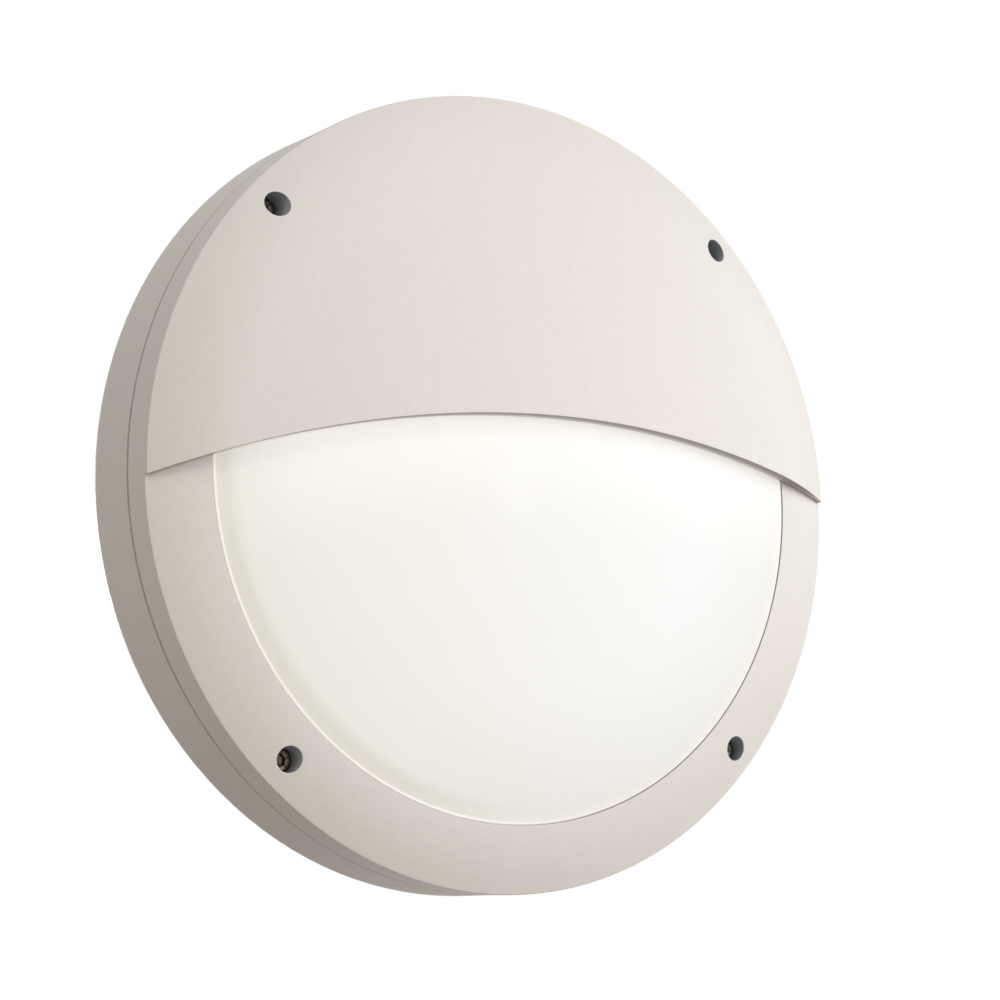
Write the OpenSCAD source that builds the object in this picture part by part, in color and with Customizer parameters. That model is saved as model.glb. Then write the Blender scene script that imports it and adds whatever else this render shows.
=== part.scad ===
// Round bulkhead light with an eyelid front, made to be fixed flat on a wall.
// Millimetres. The wall is the plane y = 0, the front faces -Y, +X is right and +Z is up.
// Every module is drawn with z as the distance from the wall and is then turned by on_wall().

/* [Body] */
// Diameter of the front casing at its edge
outer_d = 300; // [240:1:400]
// Distance from the wall to the plane where casing posts rest on housing bosses
housing_h = 27.9; // [26:0.1:45]
// Growth in radius of the housing towards the wall
draft = 0.5; // [0.1:0.1:2]
// Thickness of the cast walls
wall_t = 3; // [2:0.1:5]
// Thickness of the back plate
back_t = 3; // [2:0.1:5]
// Open height of the seam between housing and casing
seam_gap = 0.7; // [0.2:0.1:2]
// Rounding of the edge next to the wall
rear_edge_r = 2.5; // [1:0.1:5]
// Number of ribs between side wall and sealing wall
rib_count = 12; // [4:1:24]
// Thickness of the ribs
rib_t = 3; // [2:0.1:5]
// Distance of the ribs' tops under the meeting plane
rib_drop = 7; // [3:0.1:12]

/* [Front casing] */
// Height of the ring's outer edge over the meeting plane
ring_edge_h = 13.5; // [10:0.1:20]
// Rise of the ring from its outer edge to the lens opening
ring_inner_h = 5.6; // [3:0.1:9]
// Radius of the ring's rounded front
ring_round_r = 90; // [40:1:300]
// Step from the ring's outer edge to the eyelid's outer edge
lid_step = 1.9; // [0.5:0.1:5]
// Radius of the eyelid's rounded shoulder
lid_shoulder_r = 90; // [50:1:300]
// Width of the eyelid's shoulder from the outer edge inward
lid_shoulder_w = 30; // [15:0.5:45]
// Radius of the eyelid's shallow middle
lid_dome_r = 874; // [500:1:2000]
// Rounding of the outer front edges
front_edge_r = 0.5; // [0.2:0.1:3]
// Height of the middle of the eyelid's lower edge over the level of its ends
arch_rise = 25.8; // [10:0.1:50]
// Thickness of the lip along the eyelid's lower edge
lip_t = 3; // [2:0.1:6]
// Width of the ring from its outer edge to the lens opening
ring_w = 23.4; // [20:0.1:40]
// Height of the lens opening's centre over the middle of the light
opening_lift = 1.8; // [0.5:0.1:4]
// Rounding of the two corners of the lens opening
corner_r = 1.5; // [1:0.1:8]
// Width of the inner wall that presses on the lens flange
clamp_w = 2.8; // [2:0.1:5]

/* [Cover screws] */
// Distance of the screw axes from the outer edge
screw_inset = 10.7; // [9:0.1:14]
// Diameter of the counterbores in the casing
counterbore_d = 9.4; // [8.8:0.1:14]
// Depth of the screw heads under the level of the ring's outer edge
head_depth = 3.6; // [0:0.1:6]
// Nominal diameter of the screw shanks
cover_screw_d = 5; // [3:0.5:6]
// Length of the screw shanks
cover_screw_len = 16; // [10:0.5:22]
// Diameter of the screw heads
cover_head_d = 8.5; // [5.5:0.5:10]
// Height of the screw heads
cover_head_h = 5; // [3:0.5:6]
// Width across flats of the hexagon sockets
hex_af = 4; // [2.5:0.5:5]
// Depth of the hexagon sockets
hex_depth = 2.6; // [1.5:0.1:4]
// Chamfer of the screw heads
head_chamfer = 0.4; // [0.1:0.1:1]
// Chamfer of the screw tips
tip_chamfer = 0.5; // [0.2:0.1:1]
// Diameter of posts and bosses around the screws
post_d = 14; // [12:0.5:18]
// Depth of the tapped holes beyond the screw tips
hole_spare = 3; // [1:0.1:6]

/* [Lens] */
// Gap between lens and casing
lens_gap = 0.3; // [0.2:0.1:1]
// Overlap of the lens wall behind the edge of the opening
lens_lap = 0.8; // [0.5:0.1:2]
// Wall thickness of the lens
lens_t = 3; // [2:0.1:4]
// Depth of the lens edge under the inner edge of the ring
lens_sink = 0.3; // [0:0.1:2]
// Rise of the lens dome from its edge to the middle
lens_rise = 9; // [5:0.1:12]
// Height of the raised half-moon over the covered part of the lens
half_moon_h = 2.4; // [1.5:0.1:4]
// Clearance between the casing and the covered part of the lens
lens_clearance = 0.8; // [0.3:0.1:1.5]
// Rounding of the covered edge of the lens
lens_edge_r = 1; // [0.5:0.1:2]
// Rounding of the inner corners of the half-moon
inner_corner_r = 2; // [1.5:0.1:4]
// Thickness of the lens flange
flange_t = 2.5; // [1.5:0.1:4]
// Width of the lens flange beyond the lens wall
flange_w = 4.2; // [3:0.1:5]
// Distance of the flange's rear face under the meeting plane
flange_drop = 0.9; // [0.2:0.1:2]

/* [Seal] */
// Width of the gasket
gasket_w = 5; // [3:0.1:6]
// Height of the fitted gasket
gasket_h = 5; // [3:0.1:8]
// Free space beside the gasket in its groove
gasket_gap = 0.1; // [0.05:0.05:0.5]
// Height of the gasket that stands out of its groove
gasket_out = 1; // [0.5:0.1:2]
// Distance of the groove's middle inward from the flange's edge
groove_inset = 3.1; // [2.5:0.1:4]
// Thickness of the sealing wall on each side of the groove
seal_side_t = 2.2; // [1.5:0.1:4]

/* [Light unit] */
// Distance from the wall to the rear face of the tray
tray_z = 24; // [23.5:0.1:30]
// Thickness of the tray sheet
tray_t = 1.2; // [0.8:0.1:2]
// Height of the tray's upturned rim over its rear face
tray_rim_h = 9; // [3:0.5:14]
// Gap between the tray's rim and the sealing wall
tray_gap = 11.3; // [2:0.1:20]
// Distance of the tray screws inward from the tray's rim
pillar_inset = 8; // [6:0.1:14]
// Diameter of the pillars under screws
pillar_d = 9; // [7:0.5:14]
// Diameter of the tray screws
tray_screw_d = 4; // [3:0.5:5]
// Length of the tray screws
tray_screw_len = 9; // [6:0.5:12]
// Diameter of the tray screw heads
tray_head_d = 7.6; // [5.5:0.1:9]
// Height of the tray screw heads
tray_head_h = 2.6; // [1.5:0.1:4]
// Gap between the circuit board and the tray screw heads
board_gap = 8.6; // [1:0.1:15]
// Thickness of the circuit board
board_t = 1.6; // [1:0.1:3]
// Distance of the board screws inward from the board's edge
board_screw_inset = 7; // [5:0.1:10]
// Diameter of the board screws
board_screw_d = 3; // [2.5:0.5:4]
// Length of the board screws
board_screw_len = 6; // [4:0.5:8]
// Diameter of the board screw heads
board_head_d = 5.6; // [4.5:0.1:7]
// Height of the board screw heads
board_head_h = 2; // [1:0.1:3]
// Side length of one light-emitting package
led_size = 3; // [2:0.1:5]
// Height of one light-emitting package
led_h = 0.75; // [0.5:0.05:1.5]
// Distance of the outer ring of packages from the board's edge
led_inset = 18; // [12:0.5:22]
// Distance between neighbouring rings of packages
led_pitch = 23; // [15:0.5:25]
// Distance of the wire hole from the middle of the board
wire_hole_x = 14; // [13:0.5:18]
// Diameter of the wire hole
wire_hole_d = 7.4; // [6.5:0.1:9]
// Length of the board connector
connector_l = 10; // [8:0.5:12]
// Width of the board connector
connector_w = 9; // [8:0.5:12]
// Height of the board connector
connector_h = 6; // [5:0.1:9]
// Distance between the two ways of the connector
way_pitch = 4; // [3:0.1:5]
// Height of the connector's wires over the board
way_h = 3.2; // [2:0.1:4]
// Depth of the wire holes in the connector
way_depth = 4; // [2:0.1:6]
// Diameter of the release holes in the connector
release_d = 1.8; // [1:0.1:2.5]
// Depth of the release holes in the connector
release_depth = 1; // [0.5:0.1:1.5]
// Distance of the release holes from the connector's middle
release_x = 2.4; // [1.5:0.1:3]

/* [Driver] */
// Length of the driver's body
driver_l = 104; // [80:1:120]
// Width of the driver's body
driver_w = 38; // [25:1:45]
// Height of the driver's body
driver_h = 19; // [15:0.5:20]
// Distance of the driver under the middle of the light
driver_drop = 46; // [42:0.5:60]
// Height of the driver's lid
driver_lid_h = 4; // [2:0.1:6]
// Step from the driver's body to its lid
driver_lid_step = 0.6; // [0.2:0.1:2]
// Length of the driver's ears
ear_l = 10; // [8:0.5:14]
// Width of the driver's ears
ear_w = 14; // [10:0.5:20]
// Thickness of the driver's ears
ear_t = 3; // [2:0.1:5]
// Height of the ears' rear faces over the back plate
ear_h = 6; // [5.6:0.1:9]
// Diameter of the driver screws
driver_screw_d = 4; // [3:0.5:5]
// Length of the driver screws
driver_screw_len = 8; // [6:0.5:8]
// Diameter of the driver screw heads
driver_head_d = 7.6; // [5.5:0.1:9]
// Height of the driver screw heads
driver_head_h = 2.6; // [1.5:0.1:4]
// Height of the driver's wires over the back plate
driver_wire_h = 15; // [12:0.1:17]
// Distance between the two wires at each end of the driver
driver_wire_pitch = 8; // [5:0.1:12]
// Depth of the wire holes in the driver
driver_wire_depth = 6; // [3:0.1:10]
// Free length of a wire hole behind the wire's end
wire_end_gap = 2; // [0.5:0.1:2.5]

/* [Terminal block] */
// Distance between neighbouring ways
pole_pitch = 11; // [9:0.1:14]
// Height of the block
block_h = 12; // [11:0.1:14]
// Width of the block across its ways
block_w = 18; // [16:0.5:22]
// Spare length of the block at each end
block_end = 0.5; // [0.2:0.1:3]
// Height of the block's base over its rear face
block_base_h = 7.4; // [6.5:0.1:9]
// Width of one raised way
pole_w = 7.2; // [6.5:0.1:8]
// Distance of the raised ways from the block's sides
pole_inset = 1; // [0.5:0.1:2]
// Height of the wire holes over the block's rear face
pole_h = 4; // [3:0.1:5]
// Height of the block over the back plate
block_stand = 7; // [6.6:0.1:8]
// Distance of the block over the middle of the light
block_up = 30; // [28:0.5:34]
// Distance of the clamp screws from the block's middle
clamp_reach = 5; // [4:0.1:6]
// Diameter of the clamp screws
clamp_screw_d = 3.5; // [2.5:0.1:4]
// Radial clearance of the clamp screws in their wells
clamp_gap = 0.2; // [0.1:0.05:0.4]
// Distance of the clamp screws' tops under the block's top
clamp_drop = 1; // [0.5:0.1:2]
// Distance of the clamp screws' tips over the wires
clamp_space = 0.2; // [0.1:0.1:0.5]
// Width of the slots in the clamp screws
slot_w = 0.7; // [0.4:0.1:1]
// Depth of the slots in the clamp screws
slot_depth = 0.8; // [0.4:0.1:1.5]
// Radial clearance of the wires in the block
block_wire_gap = 0.7; // [0.2:0.1:0.8]
// Depth of the wire holes in the block
block_wire_depth = 7; // [6:0.1:8]
// Diameter of the block's fixing screws
block_screw_d = 3; // [2.5:0.1:3]
// Length of the block's fixing screws
block_screw_len = 12; // [10:0.5:13]
// Diameter of the fixing screw heads
block_head_d = 3.6; // [3.2:0.1:3.7]
// Height of the fixing screw heads
block_head_h = 1.8; // [1:0.1:3]
// Diameter of the bosses under the block
block_boss_d = 7; // [6:0.5:10]

/* [Earth and wires] */
// Distance of the earth point right of the middle
earth_x = 60; // [50:1:65]
// Distance of the earth point over the middle
earth_y = 34; // [30:1:40]
// Height of the earth pillar over the back plate
earth_h = 6; // [5:0.1:9]
// Diameter of the ring terminal
lug_d = 9; // [8:0.5:12]
// Thickness of the ring terminal
lug_t = 0.8; // [0.5:0.1:1.5]
// Diameter of the terminal's barrel
barrel_d = 3.6; // [3.2:0.1:5]
// Length of the terminal's barrel
barrel_l = 7; // [5:0.5:10]
// Distance of the barrel from the screw's axis
barrel_reach = 8; // [7:0.5:12]
// Height of the barrel's axis over the terminal's rear face
barrel_h = 1.8; // [1.6:0.1:2]
// Diameter of the toothed washer
washer_d = 8; // [7:0.5:10]
// Thickness of the toothed washer
washer_t = 0.8; // [0.5:0.1:1.5]
// Number of teeth gaps in the washer
tooth_count = 12; // [6:1:16]
// Side length of the teeth gaps
tooth_size = 0.9; // [0.5:0.1:1.2]
// Diameter of the earth screw
earth_screw_d = 4; // [3:0.5:5]
// Length of the earth screw
earth_screw_len = 6.6; // [5:0.1:8]
// Diameter of the earth screw's head
earth_head_d = 7.4; // [6:0.1:9]
// Height of the earth screw's head
earth_head_h = 2.6; // [1.5:0.1:4]
// Diameter of the mains wires with their insulation
wire_d = 2.2; // [1.8:0.1:2.6]
// Diameter of the light board wires with their insulation
led_wire_d = 1.6; // [1.2:0.1:2]
// Bend radius of the live and earth wires
wire_bend_r = 6; // [4:0.5:8]
// Bend radius of the neutral wire
neutral_bend_r = 4; // [3:0.5:6]
// Bend radius of the light board wires
led_bend_r = 2.6; // [2:0.1:3]
// Distance of the live wire's run from the driver
live_reach = 16; // [14:0.5:18]
// Distance of the neutral wire's run from the driver
neutral_reach = 9; // [8:0.5:10]
// Distance of the positive light board wire's run from the driver
positive_reach = 10; // [9:0.5:12]
// Distance of the negative light board wire's run from the driver
negative_reach = 17; // [15:0.5:19]
// Free length of the live wire in front of the block
live_lead = 9; // [7:0.5:12]
// Free length of the neutral wire in front of the block
neutral_lead = 16; // [14:0.5:18]
// Free length of the earth wire in front of the block
earth_lead = 13; // [10:0.5:16]
// Distance of the live wire's lower bend under the middle
live_low = 12; // [10:0.5:16]
// Distance of the neutral wire's lower bend under the middle
neutral_low = 18; // [16:0.5:22]
// Distance of the positive light board wire's bend under the middle
positive_low = 16; // [14:0.5:20]
// Distance of the negative light board wire's bend under the middle
negative_low = 10; // [8:0.5:12]

/* [Wall fixing] */
// Diameter of the circle of the wall fixing holes
fixing_pcd = 208; // [190:1:215]
// Diameter of the wall fixing holes
fixing_hole_d = 5.5; // [4:0.1:8]
// Diameter of the bosses around the wall fixing holes
fixing_boss_d = 14; // [10:0.5:20]
// Height of those bosses over the back plate
fixing_boss_h = 2; // [0.5:0.1:5]
// Height of the rear cable entry over the middle
entry_y = 78; // [70:1:82]
// Diameter of the hole for the grommet
entry_d = 21; // [16:0.5:25]
// Height of the boss around the cable entry over the back plate
entry_boss_h = 3; // [1:0.1:5]
// Wall thickness of the boss around the grommet's rear flange
entry_boss_t = 2.5; // [1.5:0.1:5]
// Width of the seat for the grommet's rear flange
entry_seat_w = 4; // [2:0.1:6]
// Depth of that seat
entry_seat_depth = 2.2; // [1.5:0.1:2.6]
// Clearance around the grommet's rear flange
flange_gap = 0.8; // [0.3:0.1:1.5]
// Distance of the grommet from the wall
grommet_gap = 0.4; // [0.2:0.1:1]
// Clearance of the grommet in its hole
neck_gap = 0.1; // [0.05:0.05:0.3]
// Width of the grommet's front flange beyond the hole
front_flange_w = 2.5; // [1.5:0.1:4]
// Thickness of the grommet's front flange
front_flange_t = 2; // [1:0.1:3]
// Slope of the front flange's edge
front_flange_slope = 1; // [0.2:0.1:2]
// Height of the grommet's nozzle
nozzle_h = 4; // [2:0.5:8]
// Wall thickness at the nozzle's end
nozzle_t = 2.5; // [1:0.1:3]
// Distance of the nozzle's foot from the hole's edge
nozzle_inset = 2.5; // [1:0.1:3]
// Diameter of the cable hole in the grommet
cable_hole_d = 7; // [5:0.5:9]
// Depth of the funnel behind the cable hole
funnel_depth = 4; // [2:0.1:5]
// Distance of the funnel's rear edge from the hole's edge
funnel_inset = 2; // [1:0.1:3]

/* [Hidden] */
$fn = 96;
// Facets of the large arcs in a preview, and straight steps of a rounded edge
dome_fn = 720;
edge_steps = 6;
// Length of cuts that pass right through
cut_len = 120;
// How far cuts and joined forms reach past a face, and a hair's width
over = 1;
eps = 0.01;
// How far the eyelid's shoulder stands over its middle, so that the two arcs cross cleanly
blend_lap = 0.005;
// How far the eyelid's form reaches down into the ring
lid_root = 4;
// Radial clearance of a screw in its tapped hole
thread_gap = 0.05;
// Radial clearance of a screw in a plain hole
hole_gap = 0.25;
// Clearance between wires and the holes they enter
wire_gap = 0.15;
// Length of a wire bend inside each straight run, and how much thinner in radius it is
bend_lap = 0.25;
bend_step = 0.03;
// Shares of a pan head: straight height, top width, recess length and recess width
pan_straight = 0.6;
pan_top = 0.72;
recess_long = 0.55;
recess_wide = 0.14;
// Number of packages in each ring from the middle outward, and the turn of each ring
led_counts = [6, 12, 18];
led_turns = [0, 15, 10];
casting_tone = [0.86, 0.83, 0.8];
steel_tone = [0.72, 0.72, 0.73];
rubber_tone = [0.15, 0.15, 0.15];

outer_r = outer_d / 2;
skirt_r = outer_r - wall_t;
rim_z = housing_h - seam_gap;
ring_edge_z = housing_h + ring_edge_h;
opening_r = outer_r - ring_w;

// Arc of the ring's front, through its outer edge and the edge of the opening
ring_chord = [opening_r - outer_r, ring_inner_h];
ring_mid = [(outer_r + opening_r) / 2, ring_edge_z + ring_inner_h / 2];
ring_sink = sqrt(pow(ring_round_r, 2) - pow(norm(ring_chord) / 2, 2));
ring_c = ring_mid + ring_sink * [-ring_chord[1], ring_chord[0]] / norm(ring_chord);

// Arcs of the eyelid's front: a shoulder from the outer edge inward, then a shallow middle
lid_edge_z = ring_edge_z + lid_step;
lid_start_r = outer_r - lid_shoulder_w;
lid_lean = asin(lid_start_r / lid_dome_r);
lid_c_r = lid_start_r - lid_shoulder_r * sin(lid_lean);
lid_c_z = lid_edge_z - sqrt(pow(lid_shoulder_r, 2) - pow(outer_r - lid_c_r, 2));
lid_dome_cz = lid_c_z - (lid_dome_r - lid_shoulder_r) * cos(lid_lean);
arch_r = cap_radius(outer_r, arch_rise);
arch_drop = arch_r - arch_rise;

moon_r = opening_r - lens_gap;
lens_wall_r = opening_r + lens_lap;
lens_room_r = lens_wall_r + lens_gap;
lens_edge_z = ring_edge_z + ring_inner_h - lens_sink;
lens_r = cap_radius(moon_r, lens_rise);
lens_cz = lens_edge_z + lens_rise - lens_r;
clamp_r = lens_room_r + clamp_w;
flange_r = lens_wall_r + flange_w;
flange_z = housing_h - flange_drop;
flange_top_z = flange_z + flange_t;
seal_z = flange_z - gasket_out;

screw_r = outer_r - screw_inset;
head_top_z = ring_edge_z - head_depth;
head_z = head_top_z - cover_head_h;
cover_tip_z = head_z - cover_screw_len;

groove_mid_r = flange_r - groove_inset;
groove_w = gasket_w + 2 * gasket_gap;
groove_z = flange_z - gasket_h;
seal_in_r = groove_mid_r - groove_w / 2 - seal_side_t;
seal_out_r = groove_mid_r + groove_w / 2 + seal_side_t;

tray_r = seal_in_r - tray_gap;
tray_top_z = tray_z + tray_t;
pillar_r = tray_r - pillar_inset;
board_r = pillar_r - tray_head_d / 2 - board_gap;
board_top_z = tray_top_z + board_t;
board_screw_r = board_r - board_screw_inset;
way_z = board_top_z + way_h;

driver_y = -driver_drop;
ear_z = back_t + ear_h;
ear_x = driver_l / 2 + ear_l / 2;
driver_wire_z = back_t + driver_wire_h;
driver_low_y = driver_y - driver_wire_pitch / 2;
driver_high_y = driver_y + driver_wire_pitch / 2;
driver_end_x = driver_l / 2 - driver_wire_depth + wire_end_gap;

block_z = back_t + block_stand;
block_l = 3 * pole_pitch + 2 * block_end;
block_front_y = block_up - block_w / 2;
pole_z = block_z + pole_h;
wire_end_y = block_front_y + block_wire_depth - wire_end_gap;
clamp_tip_z = pole_z + wire_d / 2 + clamp_space;
clamp_top_z = block_z + block_h - clamp_drop;

earth_z = back_t + earth_h;
barrel_z = earth_z + barrel_h;

fixing_boss_z = back_t + fixing_boss_h;
entry_boss_z = back_t + entry_boss_h;
entry_seat_d = entry_d + 2 * entry_seat_w;

function cap_radius(half_width, rise) = (half_width * half_width + rise * rise) / (2 * rise);
function unit(v) = v / norm(v);

module on_wall() {
    rotate([90, 0, 0]) children();
}

module around(count, radius, start = 0) {
    for (i = [0 : count - 1]) {
        rotate([0, 0, start + i * 360 / count]) translate([radius, 0, 0]) children();
    }
}

module mirrored_x() {
    children();
    mirror([1, 0, 0]) children();
}

// Body of revolution whose seam lies at the bottom, away from the ends of the eyelid
module turned() {
    rotate([0, 0, -90]) rotate_extrude() children();
}

// Round hole from a level upward, past everything
module hole_up(from_z, diameter) {
    translate([0, 0, from_z]) cylinder(d = diameter, h = cut_len);
}

// Points of a rounded edge about mid, from one direction to the next, with a straight run-out at each end
function rounded(mid, radius, from_a, to_a, before, after) =
    let (step = (to_a - from_a) / edge_steps)
    let (p = [for (i = [0 : edge_steps]) mid + radius * [cos(from_a + i * step), sin(from_a + i * step)]])
    concat(
        before > 0 ? [p[0] + before * unit(p[0] - p[1])] : [],
        p,
        after > 0 ? [p[edge_steps] + after * unit(p[edge_steps] - p[edge_steps - 1])] : []
    );

// Upright wall at wall_r with a rounded edge to an arc of arc_r about centre; open above the arc
module walled_profile(wall_r, base_z, centre, arc_r, edge_r) {
    mid_x = wall_r - edge_r;
    mid_z = centre[1] + sqrt(pow(arc_r - edge_r, 2) - pow(mid_x - centre[0], 2));
    top_a = atan2(mid_z - centre[1], mid_x - centre[0]);
    polygon(concat(
        [[0, base_z], [wall_r, base_z]],
        rounded([mid_x, mid_z], edge_r, 0, top_a, 0, 2 * edge_r),
        [[0, base_z + cut_len]]
    ));
}

// Everything under the ring's front, moved inward by inset
module ring_field(inset) {
    translate(ring_c) circle(ring_round_r - inset, $fn = dome_fn);
}

// Everything under the eyelid's front, moved inward by inset
module lid_field(inset) {
    intersection() {
        translate([0, lid_dome_cz]) circle(lid_dome_r - inset, $fn = dome_fn);
        translate([0, lid_c_z - over])
            square([lid_start_r - inset * sin(lid_lean), cut_len + lid_shoulder_r]);
    }
    translate([lid_c_r, lid_c_z + blend_lap]) circle(lid_shoulder_r - inset, $fn = dome_fn);
}

// Everything under a dome about the axis
module dome_field(dome_r, centre_z) {
    translate([0, centre_z]) circle(dome_r, $fn = dome_fn);
}

// Ring-shaped space from base_z up to a field
module space_under(inner_r, space_r, base_z) {
    turned() intersection() {
        translate([inner_r, base_z]) square([space_r - inner_r, cut_len]);
        children();
    }
}

// Everything over the arch of the eyelid's lower edge, with the arch moved outward by shift
module over_arch(shift) {
    linear_extrude(cut_len) difference() {
        translate([-outer_r - over, -arch_rise]) square([2 * (outer_r + over), outer_r + arch_rise + over]);
        translate([0, -arch_drop]) circle(arch_r + shift, $fn = dome_fn);
    }
}

// Half-moon outline: a circle cut by the arch, moved inward by inset, with rounded corners
module half_moon(inset, round_r) {
    round_out = opening_r - inset - round_r;
    round_up = arch_r - inset - round_r;
    spread = arch_drop + opening_lift;
    mid_y = ((pow(round_up, 2) - pow(round_out, 2)) / spread - arch_drop + opening_lift) / 2;
    mid_x = sqrt(pow(round_out, 2) - pow(mid_y - opening_lift, 2));
    from_a = atan2(mid_y - opening_lift, mid_x);
    to_a = atan2(mid_y + arch_drop, mid_x);
    right = rounded([mid_x, mid_y], round_r, from_a, to_a, 2 * round_r, 2 * round_r);
    left = [for (i = [len(right) - 1 : -1 : 0]) [-right[i][0], right[i][1]]];
    far = 2 * outer_r;
    intersection() {
        translate([0, opening_lift]) circle(opening_r - inset, $fn = dome_fn);
        translate([0, -arch_drop]) circle(arch_r - inset, $fn = dome_fn);
        polygon(concat([[far, -far]], right, [[0, far]], left, [[-far, -far]]));
    }
}

// Die-cast pan: side wall, back plate, sealing wall, bosses, pillars and ribs
module rear_housing() {
    slant = norm([draft, rim_z]);
    edge_x = outer_r + draft - rear_edge_r * (slant + draft) / rim_z;
    side_a = atan2(draft, rim_z);
    root_z = back_t - 2 * over;
    rib_h = housing_h - rib_drop - root_z;
    web_h = seal_z - over - root_z;
    color(casting_tone) on_wall() difference() {
        union() {
            difference() {
                rotate_extrude() polygon(concat(
                    [[0, 0]],
                    rounded([edge_x, rear_edge_r], rear_edge_r, -90, side_a, 0, 0),
                    [[outer_r, rim_z], [0, rim_z]]
                ));
                translate([0, 0, back_t]) cylinder(r = seal_in_r, h = cut_len);
                translate([0, 0, back_t]) difference() {
                    cylinder(r = skirt_r, h = cut_len);
                    translate([0, 0, -over]) cylinder(r = seal_out_r, h = cut_len + 2 * over);
                }
                translate([0, 0, seal_z]) cylinder(r = seal_out_r + over, h = cut_len);
            }
            around(4, screw_r, 45) translate([0, 0, root_z]) cylinder(d = post_d, h = housing_h - root_z);
            around(4, (seal_out_r + screw_r) / 2, 45) translate([0, 0, root_z + web_h / 2])
                cube([screw_r - seal_out_r + 2 * over, post_d / 2, web_h], center = true);
            around(rib_count, (seal_out_r + skirt_r) / 2, 0) translate([0, 0, root_z + rib_h / 2])
                cube([skirt_r - seal_out_r + 2 * over, rib_t, rib_h], center = true);
            around(4, pillar_r, 0) translate([0, 0, root_z]) cylinder(d = pillar_d, h = tray_z - root_z);
            around(4, fixing_pcd / 2, 45) translate([0, 0, root_z])
                cylinder(d = fixing_boss_d, h = fixing_boss_z - root_z);
            translate([0, entry_y, root_z])
                cylinder(d = entry_seat_d + 2 * entry_boss_t, h = entry_boss_z - root_z);
            mirrored_x() translate([ear_x, driver_y, root_z]) cylinder(d = pillar_d, h = ear_z - root_z);
            mirrored_x() translate([pole_pitch / 2, block_up, root_z])
                cylinder(d = block_boss_d, h = block_z - root_z);
            translate([earth_x, earth_y, root_z]) cylinder(d = pillar_d, h = earth_z - root_z);
        }
        translate([0, 0, groove_z]) difference() {
            cylinder(r = groove_mid_r + groove_w / 2, h = cut_len);
            translate([0, 0, -over]) cylinder(r = groove_mid_r - groove_w / 2, h = cut_len + 2 * over);
        }
        around(4, screw_r, 45) hole_up(cover_tip_z - hole_spare, cover_screw_d + 2 * thread_gap);
        around(4, pillar_r, 0)
            hole_up(tray_top_z - tray_screw_len - hole_spare, tray_screw_d + 2 * thread_gap);
        around(4, fixing_pcd / 2, 45) hole_up(-over, fixing_hole_d);
        translate([0, entry_y, 0]) hole_up(-over, entry_d);
        translate([0, entry_y, -over]) cylinder(d = entry_seat_d, h = entry_seat_depth + over);
        mirrored_x() translate([ear_x, driver_y, 0])
            hole_up(ear_z + ear_t - driver_screw_len - eps, driver_screw_d + 2 * thread_gap);
        mirrored_x() translate([pole_pitch / 2, block_up, 0])
            hole_up(block_z + block_base_h - block_screw_len - over, block_screw_d + 2 * thread_gap);
        translate([earth_x, earth_y, 0])
            hole_up(earth_z + lug_t + washer_t - earth_screw_len - eps, earth_screw_d + 2 * thread_gap);
    }
}

// One casting of the front ring and the eyelid over the upper half
module front_casing() {
    low_z = housing_h - over;
    lid_foot_z = ring_edge_z - lid_root;
    lid_c = [lid_c_r, lid_c_z];
    color(casting_tone) on_wall() difference() {
        union() {
            turned() intersection() {
                walled_profile(outer_r, housing_h, ring_c, ring_round_r, front_edge_r);
                ring_field(0);
            }
            intersection() {
                turned() intersection() {
                    walled_profile(outer_r, lid_foot_z, lid_c, lid_shoulder_r, front_edge_r);
                    lid_field(0);
                }
                over_arch(0);
            }
        }
        difference() {
            union() {
                space_under(clamp_r, skirt_r, low_z) ring_field(wall_t);
                intersection() {
                    space_under(clamp_r, skirt_r, low_z) lid_field(wall_t);
                    over_arch(lip_t);
                }
            }
            around(4, screw_r, 45) translate([0, 0, housing_h]) cylinder(d = post_d, h = cut_len);
        }
        translate([0, 0, low_z]) cylinder(r = clamp_r + over, h = flange_top_z - low_z);
        space_under(0, lens_room_r, low_z) dome_field(lens_r - half_moon_h + lens_clearance, lens_cz);
        intersection() {
            space_under(0, lens_room_r, housing_h) lid_field(wall_t);
            over_arch(lip_t);
        }
        translate([0, 0, housing_h]) linear_extrude(cut_len) half_moon(0, corner_r);
        around(4, screw_r, 45) hole_up(head_z, counterbore_d);
        around(4, screw_r, 45) translate([0, 0, low_z])
            cylinder(d = cover_screw_d + 2 * hole_gap, h = head_z - low_z + over);
    }
}

// Opal dome with a raised half-moon, a straight wall and a flange
module diffuser() {
    inner_r = lens_wall_r - lens_t;
    covered_r = lens_r - half_moon_h;
    low_z = flange_z - over;
    color([0.97, 0.96, 0.92]) on_wall() difference() {
        union() {
            turned() intersection() {
                walled_profile(lens_wall_r, flange_z, [0, lens_cz], covered_r, lens_edge_r);
                dome_field(covered_r, lens_cz);
            }
            intersection() {
                space_under(0, lens_wall_r, flange_z) dome_field(lens_r, lens_cz);
                translate([0, 0, flange_z]) linear_extrude(cut_len) half_moon(lens_gap, corner_r - lens_gap);
            }
            translate([0, 0, flange_z]) cylinder(r = flange_r, h = flange_t);
        }
        space_under(0, inner_r, low_z) dome_field(covered_r - lens_t, lens_cz);
        intersection() {
            space_under(0, inner_r, low_z) dome_field(lens_r - lens_t, lens_cz);
            translate([0, 0, flange_z]) linear_extrude(cut_len) half_moon(lens_gap + lens_t, inner_corner_r);
        }
    }
}

// Soft ring in the groove of the sealing wall
module housing_gasket() {
    color(rubber_tone) on_wall() translate([0, 0, groove_z]) difference() {
        cylinder(r = groove_mid_r + gasket_w / 2, h = gasket_h);
        translate([0, 0, -over]) cylinder(r = groove_mid_r - gasket_w / 2, h = gasket_h + 2 * over);
    }
}

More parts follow.
